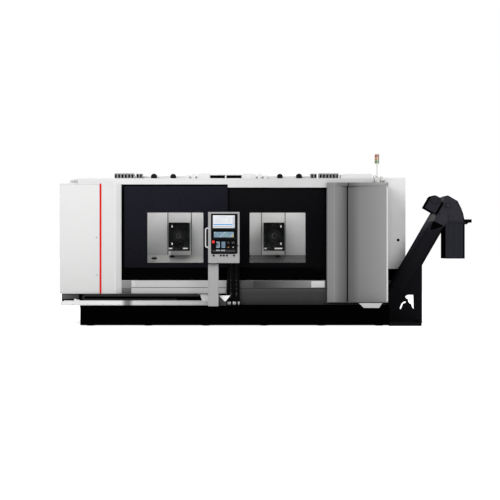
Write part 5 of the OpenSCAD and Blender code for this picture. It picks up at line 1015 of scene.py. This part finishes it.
for t, n in ((-0.36, 0.05), (-0.355, -0.1), (-0.12, -0.2), (-0.215, 0.06), (-0.2, -0.12)):
    x, z = onRise(t, n)
    bolts.head(0.008, 0.005, (x, flange - 0.0047 if t < -0.12 else y - 0.0003, z))
bolts.done("conveyorBolts", "ringBlack", "anthracite_paint")
mx, mz = onRise(*conveyor["motor"])
drive = Piece().collar(0.02, 0.064, 0.004, 0.058, 0.006, (mx, conveyor["motorFace"], mz), sides=36)
for k in range(10):
    a = 2 * pi * k / 10
    drive.strip((mx + 0.02 * cos(a), mz + 0.02 * sin(a)), (mx + 0.06 * cos(a), mz + 0.06 * sin(a)), 0.006,
                (conveyor["motorFace"] - 0.0045, conveyor["motorFace"] + 0.0002), 0)
for t, n in ((-0.235, 0.172), (-0.235, 0.35), (-0.055, 0.172), (0.035, 0.235)):
    x, z = onRise(t, n)
    drive.head(0.0085, 0.006, (x, conveyor["drive"] + 0.0005, z))
drive.done("driveCovers", "driveDark", "anthracite_paint")

# discharge chute and the stand's foot plates
chute = {"x": (3.47776, 3.85376), "z": (1.268, 1.962), "side": (-0.59, -0.103), "sideShadeTop": 1.89}
(x0, x1), (z0, z1), (y0, y1) = chute["x"], chute["z"], chute["side"]
# black sheet on the chute's left side, painted shade; dark strips along its right and lower front edges
shadeAndEdges = Piece().block((x0 - 0.0018, y0, z0 + 0.002), (x0 + 0.0004, y1, chute["sideShadeTop"]), 0.0006)
shadeAndEdges.block((x1 - 0.03, y - 0.0012, z0 + 0.001), (x1 - 0.0005, y + 0.0004, z1 - 0.004), 0)
shadeAndEdges.block((x0 + 0.001, y - 0.0012, z0 + 0.001), (x1 - 0.032, y + 0.0004, z0 + 0.013), 0)
shadeAndEdges.done("chuteSideShadeAndEdges", "ringBlack", "anthracite_paint")
plate = Piece().heads(0.0058, 0.004, (x0 + 0.03, x1 - 0.048), y + 0.0004, [z0 + 0.045 + k * 0.135 for k in range(5)],
                      sides=10)
for x in (3.575, 3.69):
    plate.block((x - 0.004, y - 0.0022, z0 + 0.02), (x + 0.004, y + 0.0004, z1 - 0.02), 0.001, 1)
plate.done("chuteRibs", "anthracite", "anthracite_paint")
stand = {"x": (2.319, 3.0192), "feet": (2.372, 2.952), "face": -0.5885}
feet, face = Piece(), stand["face"]
for x in stand["feet"]:
    feet.block((x - 0.045, face - 0.004, 0.06), (x + 0.045, face + 0.0005, 0.13), 0.0015)
    feet.head(0.016, 0.012, (x, face - 0.0035, 0.095))
feet.block((stand["x"][0] + 0.004, face - 0.002, 0.004), (stand["x"][1] - 0.003, face + 0.0005, 0.03), 0.001)
feet.done("standPlates", "standBlack", "anthracite_paint")

# shelf of the pump, bracket of the hood
foot = Piece().block((2.2768, 0.03, 0.56), (2.61, 0.27, 0.6855), 0.003)
for y in (0.07, 0.23):
    foot.head(0.009, 0.006, (2.6098, y, 0.62), "right")
foot.block((2.2768, 0.288, 0.56), (2.62, 0.294, 1.04), 0.001)
foot.done("pumpShelf", "pillarGrey", "grey_paint")
bracket = Piece().block((3.8555, -0.5345, 1.956), (3.935, -0.4385, 2.0405), 0.002)
bracket.block((3.935, -0.5345, 2.03), (4.0022, -0.4385, 2.0405), 0.002)
bracket.heads(0.006, 0.003, (3.872, 3.918), -0.5343, [2.018], sides=6)
bracket.done("hoodBracket", "anthracite", "anthracite_paint")
print("conveyor, pump shelf and hood bracket fitted")

# camera: straight at the front, on the mirror line of the two cells
view = {"x": -0.815, "y": -23.05, "z": 1.6, "lens": 82.5, "shiftX": 0.047, "shiftY": -0.0166}
camera = bpy.data.objects.new("camera", bpy.data.cameras.new("camera"))
camera.data.lens = view["lens"]
camera.data.shift_x = view["shiftX"]
camera.data.shift_y = view["shiftY"]
camera.data.clip_end = 200
camera.location = (view["x"], view["y"], view["z"])
camera.rotation_euler = (pi / 2, 0, 0)
scene.collection.objects.link(camera)
scene.camera = camera

studio = {
    "keyLeft": {"at": (-6.0, -11.0, 7.5), "aim": (-1.5, 0.0, 1.4), "size": (7.0, 4.0), "power": 850},
    "fillRight": {"at": (7.5, -11.0, 5.0), "aim": (1.5, 0.0, 1.2), "size": (5.0, 4.0), "power": 360},
    "top": {"at": (0.0, 0.5, 9.0), "aim": (0.0, 0.5, 0.0), "size": (10.0, 6.0), "power": 300},
    "rear": {"at": (0.0, 12.0, 6.0), "aim": (0.0, 0.0, 1.2), "size": (9.0, 4.0), "power": 420},
    "floor": 90.0, "world": 0.36,
}
for name in ("keyLeft", "fillRight", "top", "rear"):
    light = bpy.data.objects.new(name, bpy.data.lights.new(name, "AREA"))
    light.data.shape = "RECTANGLE"
    light.data.size, light.data.size_y = studio[name]["size"]
    light.data.energy = studio[name]["power"]
    light.location = studio[name]["at"]
    aim = Vector(studio[name]["aim"]) - Vector(studio[name]["at"])
    light.rotation_euler = aim.to_track_quat("-Z", "Y").to_euler()
    scene.collection.objects.link(light)

world = bpy.data.worlds.new("studio")
world.use_nodes = True
scene.world = world
paper = world.node_tree
background = paper.nodes["Background"]
background.inputs[0].default_value = (1, 1, 1, 1)
rays = paper.nodes.new("ShaderNodeLightPath")
plain = Value(paper, rays.outputs["Is Camera Ray"]).most(Value(paper, rays.outputs["Is Transmission Ray"]))
paper.links.new((studio["world"] + (1.0 - studio["world"]) * plain).socket, background.inputs[1])

ground = bmesh.new()
bmesh.ops.create_grid(ground, x_segments=1, y_segments=1, size=studio["floor"])
groundMesh = bpy.data.meshes.new("floor")
ground.to_mesh(groundMesh)
ground.free()
floor = bpy.data.objects.new("floor", groundMesh)
scene.collection.objects.link(floor)
pale = Finish("floorPaper", Roughness=0.95, Specular_IOR_Level=0.0)
pale.feed("Base Color", pale.blend(pale.noise(2.0, 2.0) * 0.04, tint(0.97), tint(0.9)))
seen = pale.node("ShaderNodeLightPath", output="Is Camera Ray")
glow = pale.node("ShaderNodeEmission", {}, {"Color": (1, 1, 1, 1), "Strength": seen * 0.72})
both = pale.node("ShaderNodeAddShader", {}, {0: Value(pale.tree, pale.surface.outputs[0]), 1: glow})
pale.tree.links.new(both.socket, pale.tree.nodes["Material Output"].inputs["Surface"])
floor.data.materials.append(pale.material)
scene.view_settings.view_transform = "Standard"
print("camera, studio and floor set")
